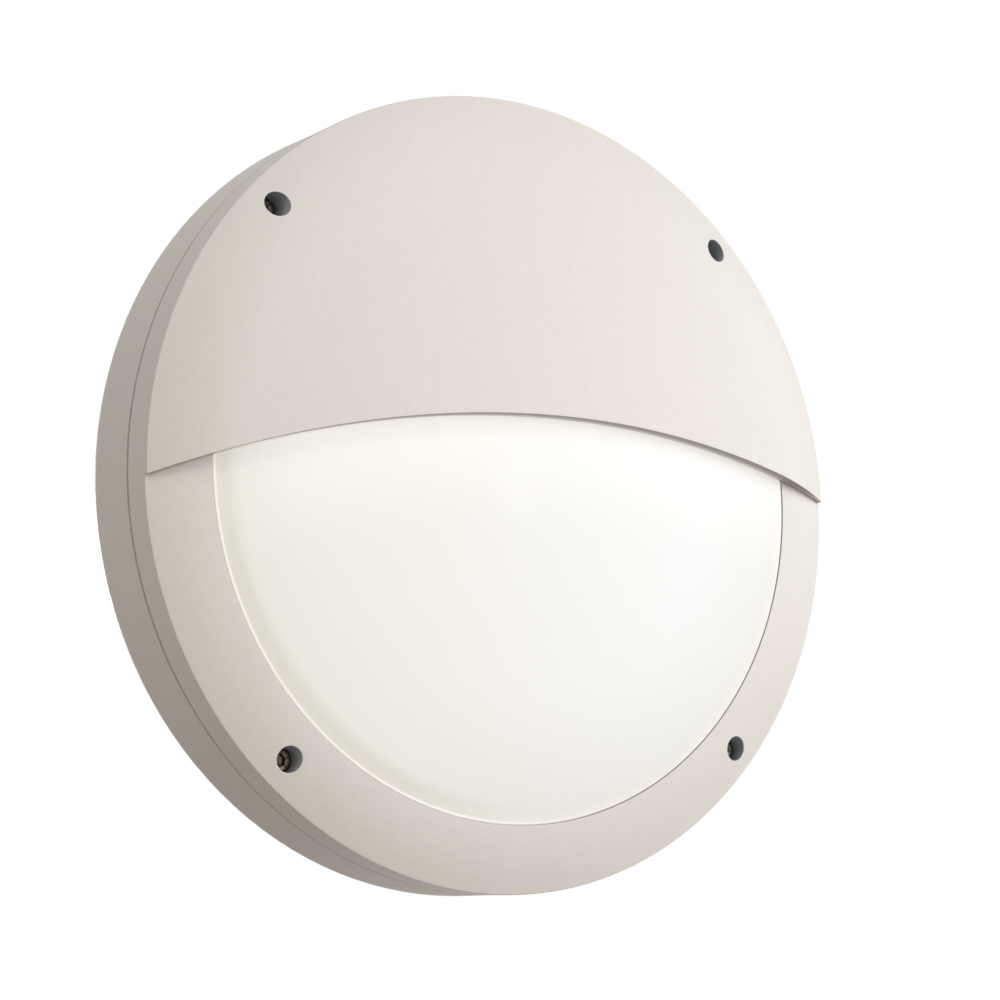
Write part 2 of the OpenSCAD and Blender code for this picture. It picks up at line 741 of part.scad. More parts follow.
// Hexagon socket cap screws of the casing
module cover_screws() {
    chamfer_z = head_top_z - head_chamfer;
    color(steel_tone) on_wall() around(4, screw_r, 45) difference() {
        union() {
            translate([0, 0, head_z]) cylinder(d = cover_head_d, h = cover_head_h - head_chamfer);
            translate([0, 0, chamfer_z])
                cylinder(d1 = cover_head_d, d2 = cover_head_d - 2 * head_chamfer, h = head_chamfer);
            translate([0, 0, cover_tip_z + tip_chamfer]) cylinder(d = cover_screw_d, h = cover_screw_len);
            translate([0, 0, cover_tip_z])
                cylinder(d1 = cover_screw_d - 2 * tip_chamfer, d2 = cover_screw_d, h = tip_chamfer);
        }
        translate([0, 0, head_top_z - hex_depth]) rotate([0, 0, 15])
            cylinder(d = hex_af / cos(30), h = hex_depth + over, $fn = 6);
    }
}

// Pressed sheet tray with an upturned rim
module gear_tray() {
    color([0.95, 0.95, 0.94]) on_wall() difference() {
        translate([0, 0, tray_z]) cylinder(r = tray_r, h = tray_rim_h);
        translate([0, 0, tray_top_z]) cylinder(r = tray_r - tray_t, h = cut_len);
        around(4, pillar_r, 0) hole_up(tray_z - over, tray_screw_d + 2 * hole_gap);
        around(4, board_screw_r, 45) hole_up(tray_z - over, board_screw_d + 2 * thread_gap);
        translate([wire_hole_x, 0, 0]) hole_up(tray_z - over, wire_hole_d);
    }
}

// Pan head screw: head under_z upward, shank downward, cross recess in the head
module pan_screw(under_z, shank_d, shank_l, top_d, top_h) {
    straight = top_h * pan_straight;
    difference() {
        union() {
            translate([0, 0, under_z]) cylinder(d = top_d, h = straight);
            translate([0, 0, under_z + straight])
                cylinder(d1 = top_d, d2 = top_d * pan_top, h = top_h - straight);
            translate([0, 0, under_z - shank_l]) cylinder(d = shank_d, h = shank_l + eps);
        }
        for (a = [0, 90]) {
            rotate([0, 0, a]) translate([0, 0, under_z + top_h])
                cube([top_d * recess_long, top_d * recess_wide, top_h], center = true);
        }
    }
}

module tray_screws() {
    color(steel_tone) on_wall() around(4, pillar_r, 0)
        pan_screw(tray_top_z, tray_screw_d, tray_screw_len, tray_head_d, tray_head_h);
}

// Round metal-core board
module led_board() {
    color([0.93, 0.94, 0.93]) on_wall() difference() {
        translate([0, 0, tray_top_z]) cylinder(r = board_r, h = board_t);
        around(4, board_screw_r, 45) hole_up(tray_z, board_screw_d + 2 * hole_gap);
        translate([wire_hole_x, 0, 0]) hole_up(tray_z, wire_hole_d);
    }
}

// Light-emitting packages in rings on the board
module leds() {
    last = len(led_counts) - 1;
    color([0.98, 0.93, 0.6]) on_wall() for (i = [0 : last]) {
        around(led_counts[i], board_r - led_inset - (last - i) * led_pitch, led_turns[i])
            translate([0, 0, board_top_z + led_h / 2]) cube([led_size, led_size, led_h], center = true);
    }
}

module led_board_screws() {
    color(steel_tone) on_wall() around(4, board_screw_r, 45)
        pan_screw(board_top_z, board_screw_d, board_screw_len, board_head_d, board_head_h);
}

// Two-way wire connector in the middle of the board
module board_connector() {
    color([0.96, 0.96, 0.95]) on_wall() difference() {
        translate([-connector_l / 2, -connector_w / 2, board_top_z])
            cube([connector_l, connector_w, connector_h]);
        for (y = [-way_pitch / 2, way_pitch / 2]) {
            translate([connector_l / 2 - way_depth, y, way_z]) rotate([0, 90, 0])
                cylinder(d = led_wire_d + 2 * wire_gap, h = way_depth + over);
            translate([-release_x, y, 0]) hole_up(board_top_z + connector_h - release_depth, release_d);
        }
    }
}

// Moulded case with two ears and wire holes in both ends
module led_driver() {
    lid_l = driver_l - 2 * driver_lid_step;
    lid_w = driver_w - 2 * driver_lid_step;
    color([0.93, 0.93, 0.92]) on_wall() difference() {
        union() {
            translate([-driver_l / 2, driver_y - driver_w / 2, back_t])
                cube([driver_l, driver_w, driver_h - driver_lid_h]);
            translate([-lid_l / 2, driver_y - lid_w / 2, back_t]) cube([lid_l, lid_w, driver_h]);
            mirrored_x() translate([driver_l / 2 - over, driver_y - ear_w / 2, ear_z])
                cube([ear_l + over, ear_w, ear_t]);
        }
        mirrored_x() translate([ear_x, driver_y, 0]) hole_up(ear_z - over, driver_screw_d + 2 * hole_gap);
        for (y = [driver_low_y, driver_high_y]) {
            translate([-driver_l / 2 - over, y, driver_wire_z]) rotate([0, 90, 0])
                cylinder(d = wire_d + 2 * wire_gap, h = driver_wire_depth + over);
            translate([driver_l / 2 - driver_wire_depth, y, driver_wire_z]) rotate([0, 90, 0])
                cylinder(d = led_wire_d + 2 * wire_gap, h = driver_wire_depth + over);
        }
    }
}

module driver_screws() {
    color(steel_tone) on_wall() mirrored_x() translate([ear_x, driver_y, 0])
        pan_screw(ear_z + ear_t, driver_screw_d, driver_screw_len, driver_head_d, driver_head_h);
}

// Three-way strip with wire holes at both long sides and clamp screw wells on top
module terminal_block() {
    well_d = clamp_screw_d + 2 * clamp_gap;
    color([0.95, 0.95, 0.93]) on_wall() translate([0, block_up, 0]) difference() {
        union() {
            translate([-block_l / 2, -block_w / 2, block_z]) cube([block_l, block_w, block_base_h]);
            for (i = [-1 : 1]) {
                translate([i * pole_pitch - pole_w / 2, -block_w / 2 + pole_inset, block_z])
                    cube([pole_w, block_w - 2 * pole_inset, block_h]);
            }
        }
        for (i = [-1 : 1], side = [-1, 1]) {
            translate([i * pole_pitch, side * clamp_reach, 0]) hole_up(pole_z + clamp_space, well_d);
            translate([i * pole_pitch, side * block_w / 2, pole_z]) rotate([90, 0, 0])
                cylinder(d = wire_d + 2 * block_wire_gap, h = 2 * block_wire_depth, center = true);
        }
        mirrored_x() translate([pole_pitch / 2, 0, 0]) hole_up(block_z - over, block_screw_d + 2 * hole_gap);
    }
}

module terminal_clamp_screws() {
    color([0.75, 0.73, 0.68]) on_wall() translate([0, block_up, 0]) for (i = [-1 : 1], side = [-1, 1]) {
        translate([i * pole_pitch, side * clamp_reach, 0]) difference() {
            translate([0, 0, clamp_tip_z]) cylinder(d = clamp_screw_d, h = clamp_top_z - clamp_tip_z);
            translate([0, 0, clamp_top_z]) cube([2 * clamp_screw_d, slot_w, 2 * slot_depth], center = true);
        }
    }
}

module terminal_fixing_screws() {
    color(steel_tone) on_wall() mirrored_x() translate([pole_pitch / 2, block_up, 0])
        pan_screw(block_z + block_base_h, block_screw_d, block_screw_len, block_head_d, block_head_h);
}

// Rubber grommet with a flange on each side of the back plate
module cable_grommet() {
    front_d = entry_d + 2 * front_flange_w;
    top_z = entry_boss_z + front_flange_t;
    color(rubber_tone) on_wall() translate([0, entry_y, 0]) difference() {
        union() {
            translate([0, 0, grommet_gap])
                cylinder(d = entry_seat_d - 2 * flange_gap, h = entry_seat_depth - grommet_gap);
            translate([0, 0, grommet_gap + eps])
                cylinder(d = entry_d - 2 * neck_gap, h = top_z - grommet_gap - 2 * eps);
            translate([0, 0, entry_boss_z])
                cylinder(d1 = front_d, d2 = front_d - 2 * front_flange_slope, h = front_flange_t);
            translate([0, 0, top_z - eps])
                cylinder(d1 = entry_d - 2 * nozzle_inset, d2 = cable_hole_d + 2 * nozzle_t, h = nozzle_h);
        }
        hole_up(-over, cable_hole_d);
        translate([0, 0, -over])
            cylinder(d1 = entry_d - 2 * funnel_inset, d2 = cable_hole_d, h = funnel_depth + over);
    }
}

// Ring terminal with a crimped barrel
module earth_lug() {
    color([0.8, 0.8, 0.78]) on_wall() translate([earth_x, earth_y, 0]) difference() {
        union() {
            translate([0, 0, earth_z]) cylinder(d = lug_d, h = lug_t);
            translate([-barrel_d / 2, -barrel_reach - over, earth_z])
                cube([barrel_d, barrel_reach - over, lug_t]);
            translate([0, -barrel_reach, barrel_z]) rotate([90, 0, 0]) cylinder(d = barrel_d, h = barrel_l);
        }
        hole_up(earth_z - over, earth_screw_d + 2 * hole_gap);
        translate([0, -barrel_reach + over, barrel_z]) rotate([90, 0, 0])
            cylinder(d = wire_d + 2 * wire_gap, h = barrel_l + 3 * over);
    }
}

// Toothed washer
module earth_washer() {
    color(steel_tone) on_wall() translate([earth_x, earth_y, earth_z + lug_t]) difference() {
        cylinder(d = washer_d, h = washer_t);
        hole_up(-over, earth_screw_d + 2 * hole_gap);
        around(tooth_count, washer_d / 2 + tooth_size / 3) translate([0, 0, washer_t / 2]) rotate([0, 0, 45])
            cube([tooth_size, tooth_size, washer_t + 2 * over], center = true);
    }
}

module earth_screw() {
    color([0.8, 0.68, 0.35]) on_wall() translate([earth_x, earth_y, 0])
        pan_screw(earth_z + lug_t + washer_t, earth_screw_d, earth_screw_len, earth_head_d, earth_head_h);
}

// Straight round piece from one point to another
module rod(from, to, diameter) {
    along = to - from;
    translate(from) rotate([0, acos(along[2] / norm(along)), atan2(along[1], along[0])])
        cylinder(d = diameter, h = norm(along));
}

// Round bend at a corner between two directions of travel
module bend(corner, from_way, to_way, bend_r, diameter) {
    turn = acos(from_way * to_way);
    inward = unit(to_way - from_way * (from_way * to_way));
    start = corner - from_way * bend_r * tan(turn / 2);
    centre = start + inward * bend_r;
    x_way = -inward;
    z_way = cross(x_way, from_way);
    multmatrix([
        [x_way[0], from_way[0], z_way[0], centre[0]],
        [x_way[1], from_way[1], z_way[1], centre[1]],
        [x_way[2], from_way[2], z_way[2], centre[2]],
        [0, 0, 0, 1]
    ]) rotate_extrude(angle = turn) translate([bend_r, 0]) circle(d = diameter);
}

// Wire along a path of corner points; each bend is a hair thinner and reaches into the straight runs
module wire(path, diameter, bend_r) {
    last = len(path) - 1;
    ways = [for (i = [0 : last - 1]) unit(path[i + 1] - path[i])];
    inner = [for (i = [1 : last - 1]) bend_r * tan(acos(ways[i - 1] * ways[i]) / 2) - bend_lap];
    cut = concat([0], inner, [0]);
    for (i = [0 : last - 1]) {
        rod(path[i] + ways[i] * cut[i], path[i + 1] - ways[i] * cut[i + 1], diameter);
    }
    for (i = [1 : last - 1]) {
        bend(path[i], ways[i - 1], ways[i], bend_r, diameter - 2 * bend_step);
    }
}

module wire_live() {
    run_x = -driver_l / 2 - live_reach;
    color([0.45, 0.27, 0.15]) on_wall() wire([
        [-pole_pitch, wire_end_y, pole_z],
        [-pole_pitch, block_front_y - live_lead, pole_z],
        [run_x, -live_low, driver_wire_z],
        [run_x, driver_low_y, driver_wire_z],
        [-driver_end_x, driver_low_y, driver_wire_z]
    ], wire_d, wire_bend_r);
}

module wire_neutral() {
    run_x = -driver_l / 2 - neutral_reach;
    color([0.15, 0.35, 0.7]) on_wall() wire([
        [0, wire_end_y, pole_z],
        [0, block_front_y - neutral_lead, pole_z],
        [run_x, -neutral_low, driver_wire_z],
        [run_x, driver_high_y, driver_wire_z],
        [-driver_end_x, driver_high_y, driver_wire_z]
    ], wire_d, neutral_bend_r);
}

module wire_earth() {
    color([0.45, 0.65, 0.15]) on_wall() wire([
        [pole_pitch, wire_end_y, pole_z],
        [pole_pitch, block_front_y - earth_lead, pole_z],
        [earth_x, block_front_y - earth_lead, barrel_z],
        [earth_x, earth_y - barrel_reach - over, barrel_z]
    ], wire_d, wire_bend_r);
}

module led_wire(side_y, reach, low, hole_y, tone) {
    run_x = driver_l / 2 + reach;
    color(tone) on_wall() wire([
        [driver_end_x, side_y, driver_wire_z],
        [run_x, side_y, driver_wire_z],
        [run_x, -low, driver_wire_z],
        [wire_hole_x, hole_y, driver_wire_z],
        [wire_hole_x, hole_y, way_z],
        [connector_l / 2 - way_depth + over, hole_y, way_z]
    ], led_wire_d, led_bend_r);
}

module wire_led_positive() {
    led_wire(driver_high_y, positive_reach, positive_low, -way_pitch / 2, [0.7, 0.1, 0.1]);
}

module wire_led_negative() {
    led_wire(driver_low_y, negative_reach, negative_low, way_pitch / 2, [0.1, 0.1, 0.1]);
}

rear_housing();
front_casing();
diffuser();
housing_gasket();
cover_screws();
gear_tray();
tray_screws();
led_board();
leds();
led_board_screws();
board_connector();
led_driver();
driver_screws();
terminal_block();
terminal_clamp_screws();
terminal_fixing_screws();
cable_grommet();
earth_lug();
earth_washer();
earth_screw();
wire_live();
wire_neutral();
wire_earth();
wire_led_positive();
wire_led_negative();
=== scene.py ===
"""Dresses the round bulkhead light: coats, opal lens, fasteners, light unit and the studio around it."""
import math

import bmesh
import bpy
from bpy.props import FloatProperty, FloatVectorProperty, IntProperty, PointerProperty
from mathutils import Matrix, Vector


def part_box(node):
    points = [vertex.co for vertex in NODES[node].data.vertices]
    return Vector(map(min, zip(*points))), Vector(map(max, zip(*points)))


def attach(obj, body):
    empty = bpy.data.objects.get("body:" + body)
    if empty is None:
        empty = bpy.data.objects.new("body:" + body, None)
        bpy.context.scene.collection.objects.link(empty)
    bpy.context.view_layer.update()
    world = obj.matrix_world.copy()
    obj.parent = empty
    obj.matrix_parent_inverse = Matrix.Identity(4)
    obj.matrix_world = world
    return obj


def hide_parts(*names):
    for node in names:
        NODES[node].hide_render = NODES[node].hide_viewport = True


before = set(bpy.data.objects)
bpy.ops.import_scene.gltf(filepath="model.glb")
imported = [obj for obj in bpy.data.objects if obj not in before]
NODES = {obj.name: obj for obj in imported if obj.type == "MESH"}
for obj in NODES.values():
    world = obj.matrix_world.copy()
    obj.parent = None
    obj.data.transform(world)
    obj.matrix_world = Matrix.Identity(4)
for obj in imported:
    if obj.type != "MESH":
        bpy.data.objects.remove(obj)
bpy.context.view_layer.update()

bl_info = {
    "name": "Bulkhead light",
    "version": (1, 0, 0),
    "blender": (4, 5, 0),
    "location": "View3D > Sidebar > Light",
    "description": "Finishes, fasteners and studio for a round bulkhead light with an eyelid front",
    "category": "Object",
}

MM = 0.001
BODY = "root"
BLACK = (0.0, 0.0, 0.0)
ORIGIN = (0.0, 0.0, 0.0)
SHARP_ANGLE = math.radians(35.0)

# Shank, head and head height of the pan head screws, in millimetres
PAN_SCREWS = {
    "tray_screws": (4.0, 7.6, 2.6),
    "led_board_screws": (3.0, 5.6, 2.0),
    "driver_screws": (4.0, 7.6, 2.6),
    "earth_screw": (4.0, 7.4, 2.6),
}


# Settings

def colour_setting(name, description, default):
    """A colour among the settings."""
    return FloatVectorProperty(
        name=name, description=description, subtype="COLOR", size=3, min=0.0, max=1.0, default=default)


def length_setting(name, description, default):
    """A length among the settings, in metres."""
    return FloatProperty(name=name, description=description, unit="LENGTH", default=default)


class CasingSettings(bpy.types.PropertyGroup):
    """Colours, grain and painted shade of the coated castings."""

    coat_colour: colour_setting(
        "Coat colour", "Colour of the powder coat on casing and housing", (0.79, 0.733, 0.676))
    # The screw wells' darker grey is partly bare metal and partly painted shade of the deep wells.
    bare_and_shade_colour: colour_setting(
        "Bare metal colour", "Colour of the uncoated screw wells", (0.5, 0.51, 0.53))
    grain_size: FloatProperty(
        name="Coat grain", description="Width of one bump of the powder coat",
        unit="LENGTH", min=0.0001, max=0.01, default=0.0011)
    edge_round: FloatProperty(
        name="Edge softness", description="Rounding that the coat gives to sharp cast edges",
        unit="LENGTH", min=0.0, max=0.002, default=0.0005)
    well_place: length_setting(
        "Screw well place", "Distance of the screw wells from the middle, each way", 0.0985)
    well_radius: length_setting("Screw well radius", "Radius of the screw wells", 0.0047)
    seam_place: length_setting(
        "Seam place", "Distance of the seam's middle from the wall", 0.02825)
    seam_width: length_setting(
        "Seam width", "Width of the seam between housing and casing", 0.0007)
    # The seam's darkening is painted shade in the gap, full on the left and none toward the right.
    seam_shade_full: length_setting("Dark seam", "Sideways place up to which the seam is dark", -0.14)
    seam_shade_gone: length_setting(
        "Pale seam", "Sideways place from which the seam has the coat's own colour", -0.085)
    lip_radius: length_setting("Lip radius", "Radius of the lip's arch", 0.44894)
    lip_drop: length_setting(
        "Lip drop", "Depth of the arch's centre under the middle of the light", 0.42314)
    lip_end: length_setting(
        "Lip end", "Distance from the middle at which the lip's shade ends", 0.1492)
    opening_radius: length_setting("Opening radius", "Radius of the ring's opening", 0.1266)
    opening_lift: length_setting(
        "Opening lift", "Height of the opening's centre over the middle of the light", 0.0018)
    lens_height: length_setting("Lens height", "Distance of the lens's top from the wall", 0.0557)
    lens_fall: FloatProperty(
        name="Lens fall", description="Fall of the lens from its top, for each square metre of distance",
        default=0.564)


class LensSettings(bpy.types.PropertyGroup):
    """Colour of the opal lens and the painted light and shade on it."""

    lens_colour: colour_setting("Lens colour", "Colour of the opal lens", (0.6, 0.585, 0.542))
    # Painted light: the glow stands in for light falling on the lens and is brighter toward the right.
    glow_colour: colour_setting(
        "Glow colour", "Colour of the light that the lens passes on", (0.535, 0.517, 0.482))
    far_colour: colour_setting(
        "Far glow colour",
        "Colour of the passed light on the right of the lens", (0.548, 0.55, 0.592))
    shade_colour: colour_setting(
        "Shade colour",
        "Colour toward which the glow sinks along the round edge", (0.1, 0.06, 0.0))
    shade_depth: length_setting(
        "Shade depth", "Width of the band along the round edge where the glow sinks", 0.05)
    shade_turn: length_setting(
        "Shade turn", "Sideways place up to which the shade is narrow and strong", -0.06)
    near_side: length_setting(
        "Near side", "Sideways place up to which the lens has its first glow colour", -0.11)
    far_side: length_setting(
        "Far side", "Sideways place from which the lens has its far glow colour", 0.1)
    # Strength of the painted light on the lens.
    glow: FloatProperty(
        name="Glow", description="Strength of the light that the lens passes on",
        min=0.0, max=2.0, default=0.7)
    # Painted highlight along the lens's rounded edge, brightest on the left.
    edge_highlight_colour: colour_setting(
        "Edge colour", "Colour of the glow along the rounded edge", (0.6, 0.587, 0.56))
    edge_width: length_setting("Edge width", "Width of the brighter rounded edge", 0.0011)
    edge_start: length_setting(
        "Edge start", "Sideways place up to which the edge is at its brightest", -0.03)
    edge_stop: length_setting(
        "Edge stop", "Sideways place from which the edge is hardly brighter", 0.06)
    # Painted light under the lip, which cancels the lip's shadow on the lens.
    rise_light_colour: colour_setting(
        "Rise colour", "Colour of the stronger glow under the lip", (1.0, 0.975, 0.93))
    rise_width: length_setting("Rise width", "Width of the stronger glow under the lip", 0.045)
    rise_start: length_setting(
        "Rise start", "Sideways place up to which the stronger glow is held back", -0.13)
    rise_full: length_setting(
        "Rise full", "Sideways place from which the stronger glow is full", -0.085)
    wall_colour: colour_setting(
        "Wall colour", "Colour of the lens where its inner wall shows through", (0.74, 0.7, 0.62))
    moon_radius: length_setting("Half-moon radius", "Radius of the half-moon's lower edge", 0.1263)
    moon_lift: length_setting(
        "Half-moon lift", "Height of the half-moon's centre over the middle of the light", 0.0018)
    arch_radius: length_setting("Arch radius", "Radius of the half-moon's upper edge", 0.44864)
    arch_drop: length_setting(
        "Arch drop", "Depth of the arch's centre under the middle of the light", 0.42314)
    wall_depth: length_setting(
        "Wall depth", "Width of the band along the edge where the inner wall shows", 0.0055)


class FastenerSettings(bpy.types.PropertyGroup):
    """Sizes of the cover screws."""

    screw_circle: length_setting(
        "Cover screw circle", "Distance of the cover screws from the middle", 0.1393)
    socket_width: length_setting(
        "Socket width", "Width across flats of the hexagon sockets", 0.004)
    knurls: IntProperty(
        name="Knurls", description="Ridges around a cover screw head", min=8, max=64, default=28)
    thread_pitch: length_setting(
        "Thread pitch", "Distance between turns of the cover screw thread", 0.0008)


class UnitSettings(bpy.types.PropertyGroup):
    """Size and places of the light packages on the board."""

    ring_radius: length_setting("Inner ring", "Radius of the inner ring of light packages", 0.028)
    ring_step: length_setting(
        "Ring step", "Distance from one ring of light packages to the next", 0.023)
    ring_count: IntProperty(
        name="Inner count", description="Light packages on the inner ring", min=1, max=24, default=6)
    package_side: length_setting("Package side", "Side of one square light package", 0.003)


class StudioSettings(bpy.types.PropertyGroup):
    """Floor, light and camera of the studio."""

    top_power: FloatProperty(
        name="Top lamp", description="Power of the soft lamp above the camera",
        unit="POWER", min=0.0, default=9.2)
    right_power: FloatProperty(
        name="Right lamp", description="Power of the soft lamp on the right",
        unit="POWER", min=0.0, default=19.0)
    front_power: FloatProperty(
        name="Front lamp", description="Power of the soft lamp in front",
        unit="POWER", min=0.0, default=12.9)
    left_power: FloatProperty(
        name="Left lamp", description="Power of the soft lamp at the upper left",
        unit="POWER", min=0.0, default=10.9)
    warm_power: FloatProperty(
        name="Warm lamp", description="Power of the warm soft lamp on the left",
        unit="POWER", min=0.0, default=5.6)
    rear_power: FloatProperty(
        name="Rear lamp", description="Power of the lamp straight behind the light",
        unit="POWER", min=0.0, default=1.0)
    fill: FloatProperty(
        name="Fill", description="Strength of the even light from all sides", min=0.0, default=0.06)
    fill_colour: colour_setting("Fill colour", "Colour of the even light", (1.0, 0.94, 0.88))
    cool_colour: colour_setting(
        "Cool colour", "Colour of the top, right and left lamps", (0.92, 0.963, 1.0))
    warm_colour: colour_setting("Warm colour", "Colour of the warm lamp", (1.0, 0.8, 0.57))
    floor_colour: colour_setting("Floor colour", "Colour of the studio floor", (0.9, 0.845, 0.79))
    floor_drop: length_setting(
        "Floor drop", "Height of the floor under the middle of the light", 0.9)
    floor_radius: length_setting("Floor radius", "Radius of the round floor", 1.9)
    lamp_distance: length_setting(
        "Lamp distance", "Distance of the lamps from the middle of the light", 2.0)
    lens_length: FloatProperty(
        name="Focal length", description="Focal length of the camera", unit="CAMERA", default=94.131)


# Node trees

class Nodes:
    """A node tree to which nodes are added one by one."""

    def __init__(self, tree):
        self.tree = tree

    def add(self, kind, settings=None, sockets=None):
        """Adds a node of that kind, sets its settings first and then its sockets."""
        node = self.tree.nodes.new(kind)
        for name, value in (settings or {}).items():
            setattr(node, name, value)
        for name, value in (sockets or {}).items():
            self.join(node.inputs[name], value)
        return node

    def join(self, socket, value):
        """Links a field or socket to a node's socket, or sets the socket's own value."""
        if isinstance(value, Field):
            value = value.socket
        if isinstance(value, bpy.types.NodeSocket):
            self.tree.links.new(value, socket)
        else:
            socket.default_value = value


class Field:
    """One number that changes from place to place; arithmetic on it adds Math nodes."""

    def __init__(self, nodes, socket):
        self.nodes = nodes
        self.socket = socket

    def _math(self, operation, first, second=0.0):
        node = self.nodes.add("ShaderNodeMath", {"operation": operation}, {0: first, 1: second})
        return Field(self.nodes, node.outputs[0])

    def __add__(self, other):
        return self._math("ADD", self, other)

    def __radd__(self, other):
        return self._math("ADD", other, self)

    def __sub__(self, other):
        return self._math("SUBTRACT", self, other)

    def __rsub__(self, other):
        return self._math("SUBTRACT", other, self)

    def __mul__(self, other):
        return self._math("MULTIPLY", self, other)

    def __truediv__(self, other):
        return self._math("DIVIDE", self, other)

    def __pow__(self, other):
        return self._math("POWER", self, other)

    def __abs__(self):
        return self._math("ABSOLUTE", self)

    def sine(self):
        """Sine of the number, in radians."""
        return self._math("SINE", self)

    def reach(self, other):
        """Distance from zero of two coordinates taken together."""
        return (self * self + other * other) ** 0.5

    def least(self, other):
        """The smaller of two numbers."""
        return self._math("MINIMUM", self, other)

    def most(self, other):
        """The greater of two numbers."""
        return self._math("MAXIMUM", self, other)

    def fade(self, low, high, first=0.0, last=1.0):
        """First up to low, last from high on, with a soft step between them."""
        node = self.nodes.add("ShaderNodeMapRange", {"interpolation_type": "SMOOTHSTEP"}, {
            "Value": self, "From Min": low, "From Max": high, "To Min": first, "To Max": last})
        return Field(self.nodes, node.outputs["Result"])


class Finish(Nodes):
    """A material whose nodes are added one by one."""

    def __init__(self, name):
        self.material = bpy.data.materials.new(name)
        self.material.use_nodes = True
        super().__init__(self.material.node_tree)
        self.tree.nodes.clear()
        self.output = self.add("ShaderNodeOutputMaterial")
        self.place = self.add("ShaderNodeTexCoord").outputs["Object"]

    def axes(self):
        """The three object coordinates as fields."""
        node = self.add("ShaderNodeSeparateXYZ", None, {0: self.place})
        return [Field(self, socket) for socket in node.outputs]

    def noise(self, width, detail, roughness):
        """Soft noise whose bumps are about width metres wide."""
        node = self.add("ShaderNodeTexNoise", None, {
            "Vector": self.place, "Scale": 1.0 / width, "Detail": detail, "Roughness": roughness})
        return Field(self, node.outputs["Fac"])

    def tint(self, share, first, second):
        """Colour between first and second by share."""
        node = self.add("ShaderNodeMix", {"data_type": "RGBA"}, {
            0: share, 6: self.colour(first), 7: self.colour(second)})
        return node.outputs[2]

    @staticmethod
    def colour(value):
        """A colour with full alpha, or the socket as it is."""
        if isinstance(value, bpy.types.NodeSocket):
            return value
        return (value[0], value[1], value[2], 1.0)

    def bump(self, height, distance, strength, normal=None):
        """Surface normal bent by a height field; distance is the height of 1 in metres."""
        sockets = {"Height": height, "Distance": distance, "Strength": strength}
        if normal is not None:
            sockets["Normal"] = normal
        return self.add("ShaderNodeBump", None, sockets).outputs[0]

    def soft_edges(self, radius):
        """Surface normal rounded at edges."""
        return self.add("ShaderNodeBevel", {"samples": 6}, {"Radius": radius}).outputs[0]

    def surface(self, **sockets):
        """Ends the material in one Principled shader; words stand for its sockets."""
        named = {}
        for word, value in sockets.items():
            named[word.replace("_", " ").title().replace("Ior", "IOR")] = value
        for name in ("Base Color", "Emission Color"):
            if name in named:
                named[name] = self.colour(named[name])
        shader = self.add("ShaderNodeBsdfPrincipled", None, named)
        self.join(self.output.inputs["Surface"], shader.outputs[0])
        return self.material


def darker(colour, share):
    """A colour multiplied by share."""
    return tuple(channel * share for channel in colour)


# Finishes

def lip_shade(finish, settings, tone):
    """Paints shade on the underside of the lip, a shadow on the ring at the lip's foot and shade on the
    opening's wall.
    """
    deep = darker(settings.coat_colour, 0.3)
    x, y, z = finish.axes()
    away = x.reach(z)
    lens_level = settings.lens_height - away * away * settings.lens_fall
    height = 0.0 - y - lens_level
    gap = settings.lip_radius - x.reach(z + settings.lip_drop)
    within = away.fade(settings.lip_end - 0.6 * MM, settings.lip_end, 1.0, 0.0)
    # Painted shade on the lip's underside.
    underside = abs(gap).fade(0.04 * MM, 0.12 * MM, 1.0, 0.0)
    underside = underside * height.fade(0.8 * MM, 2.4 * MM, 0.15, 0.8)
    tone = finish.tint(underside * within, tone, deep)
    # Painted shadow on the ring right under the lip.
    foot = gap.fade(0.12 * MM, 1.2 * MM, 1.0, 0.0) * gap.fade(0.0, 0.05 * MM)
    foot = foot * height.fade(1.0 * MM, 2.5 * MM, 0.55, 0.0)
    tone = finish.tint(foot * within, tone, darker(settings.coat_colour, 0.4))
    # Painted shade on the wall of the ring's opening.
    from_wall = abs(x.reach(z - settings.opening_lift) - settings.opening_radius)
    wall = from_wall.fade(0.06 * MM, 0.16 * MM, 0.7, 0.0) * gap.fade(0.0, 0.1 * MM)
    return finish.tint(wall, tone, deep)


def well_mask(finish, settings):
    """1 in the four screw wells and 0 elsewhere."""
    x, _, z = finish.axes()
    away = (abs(x) - settings.well_place).reach(abs(z) - settings.well_place)
    return 1.0 - away.fade(settings.well_radius + 0.05 * MM, settings.well_radius + 0.15 * MM)


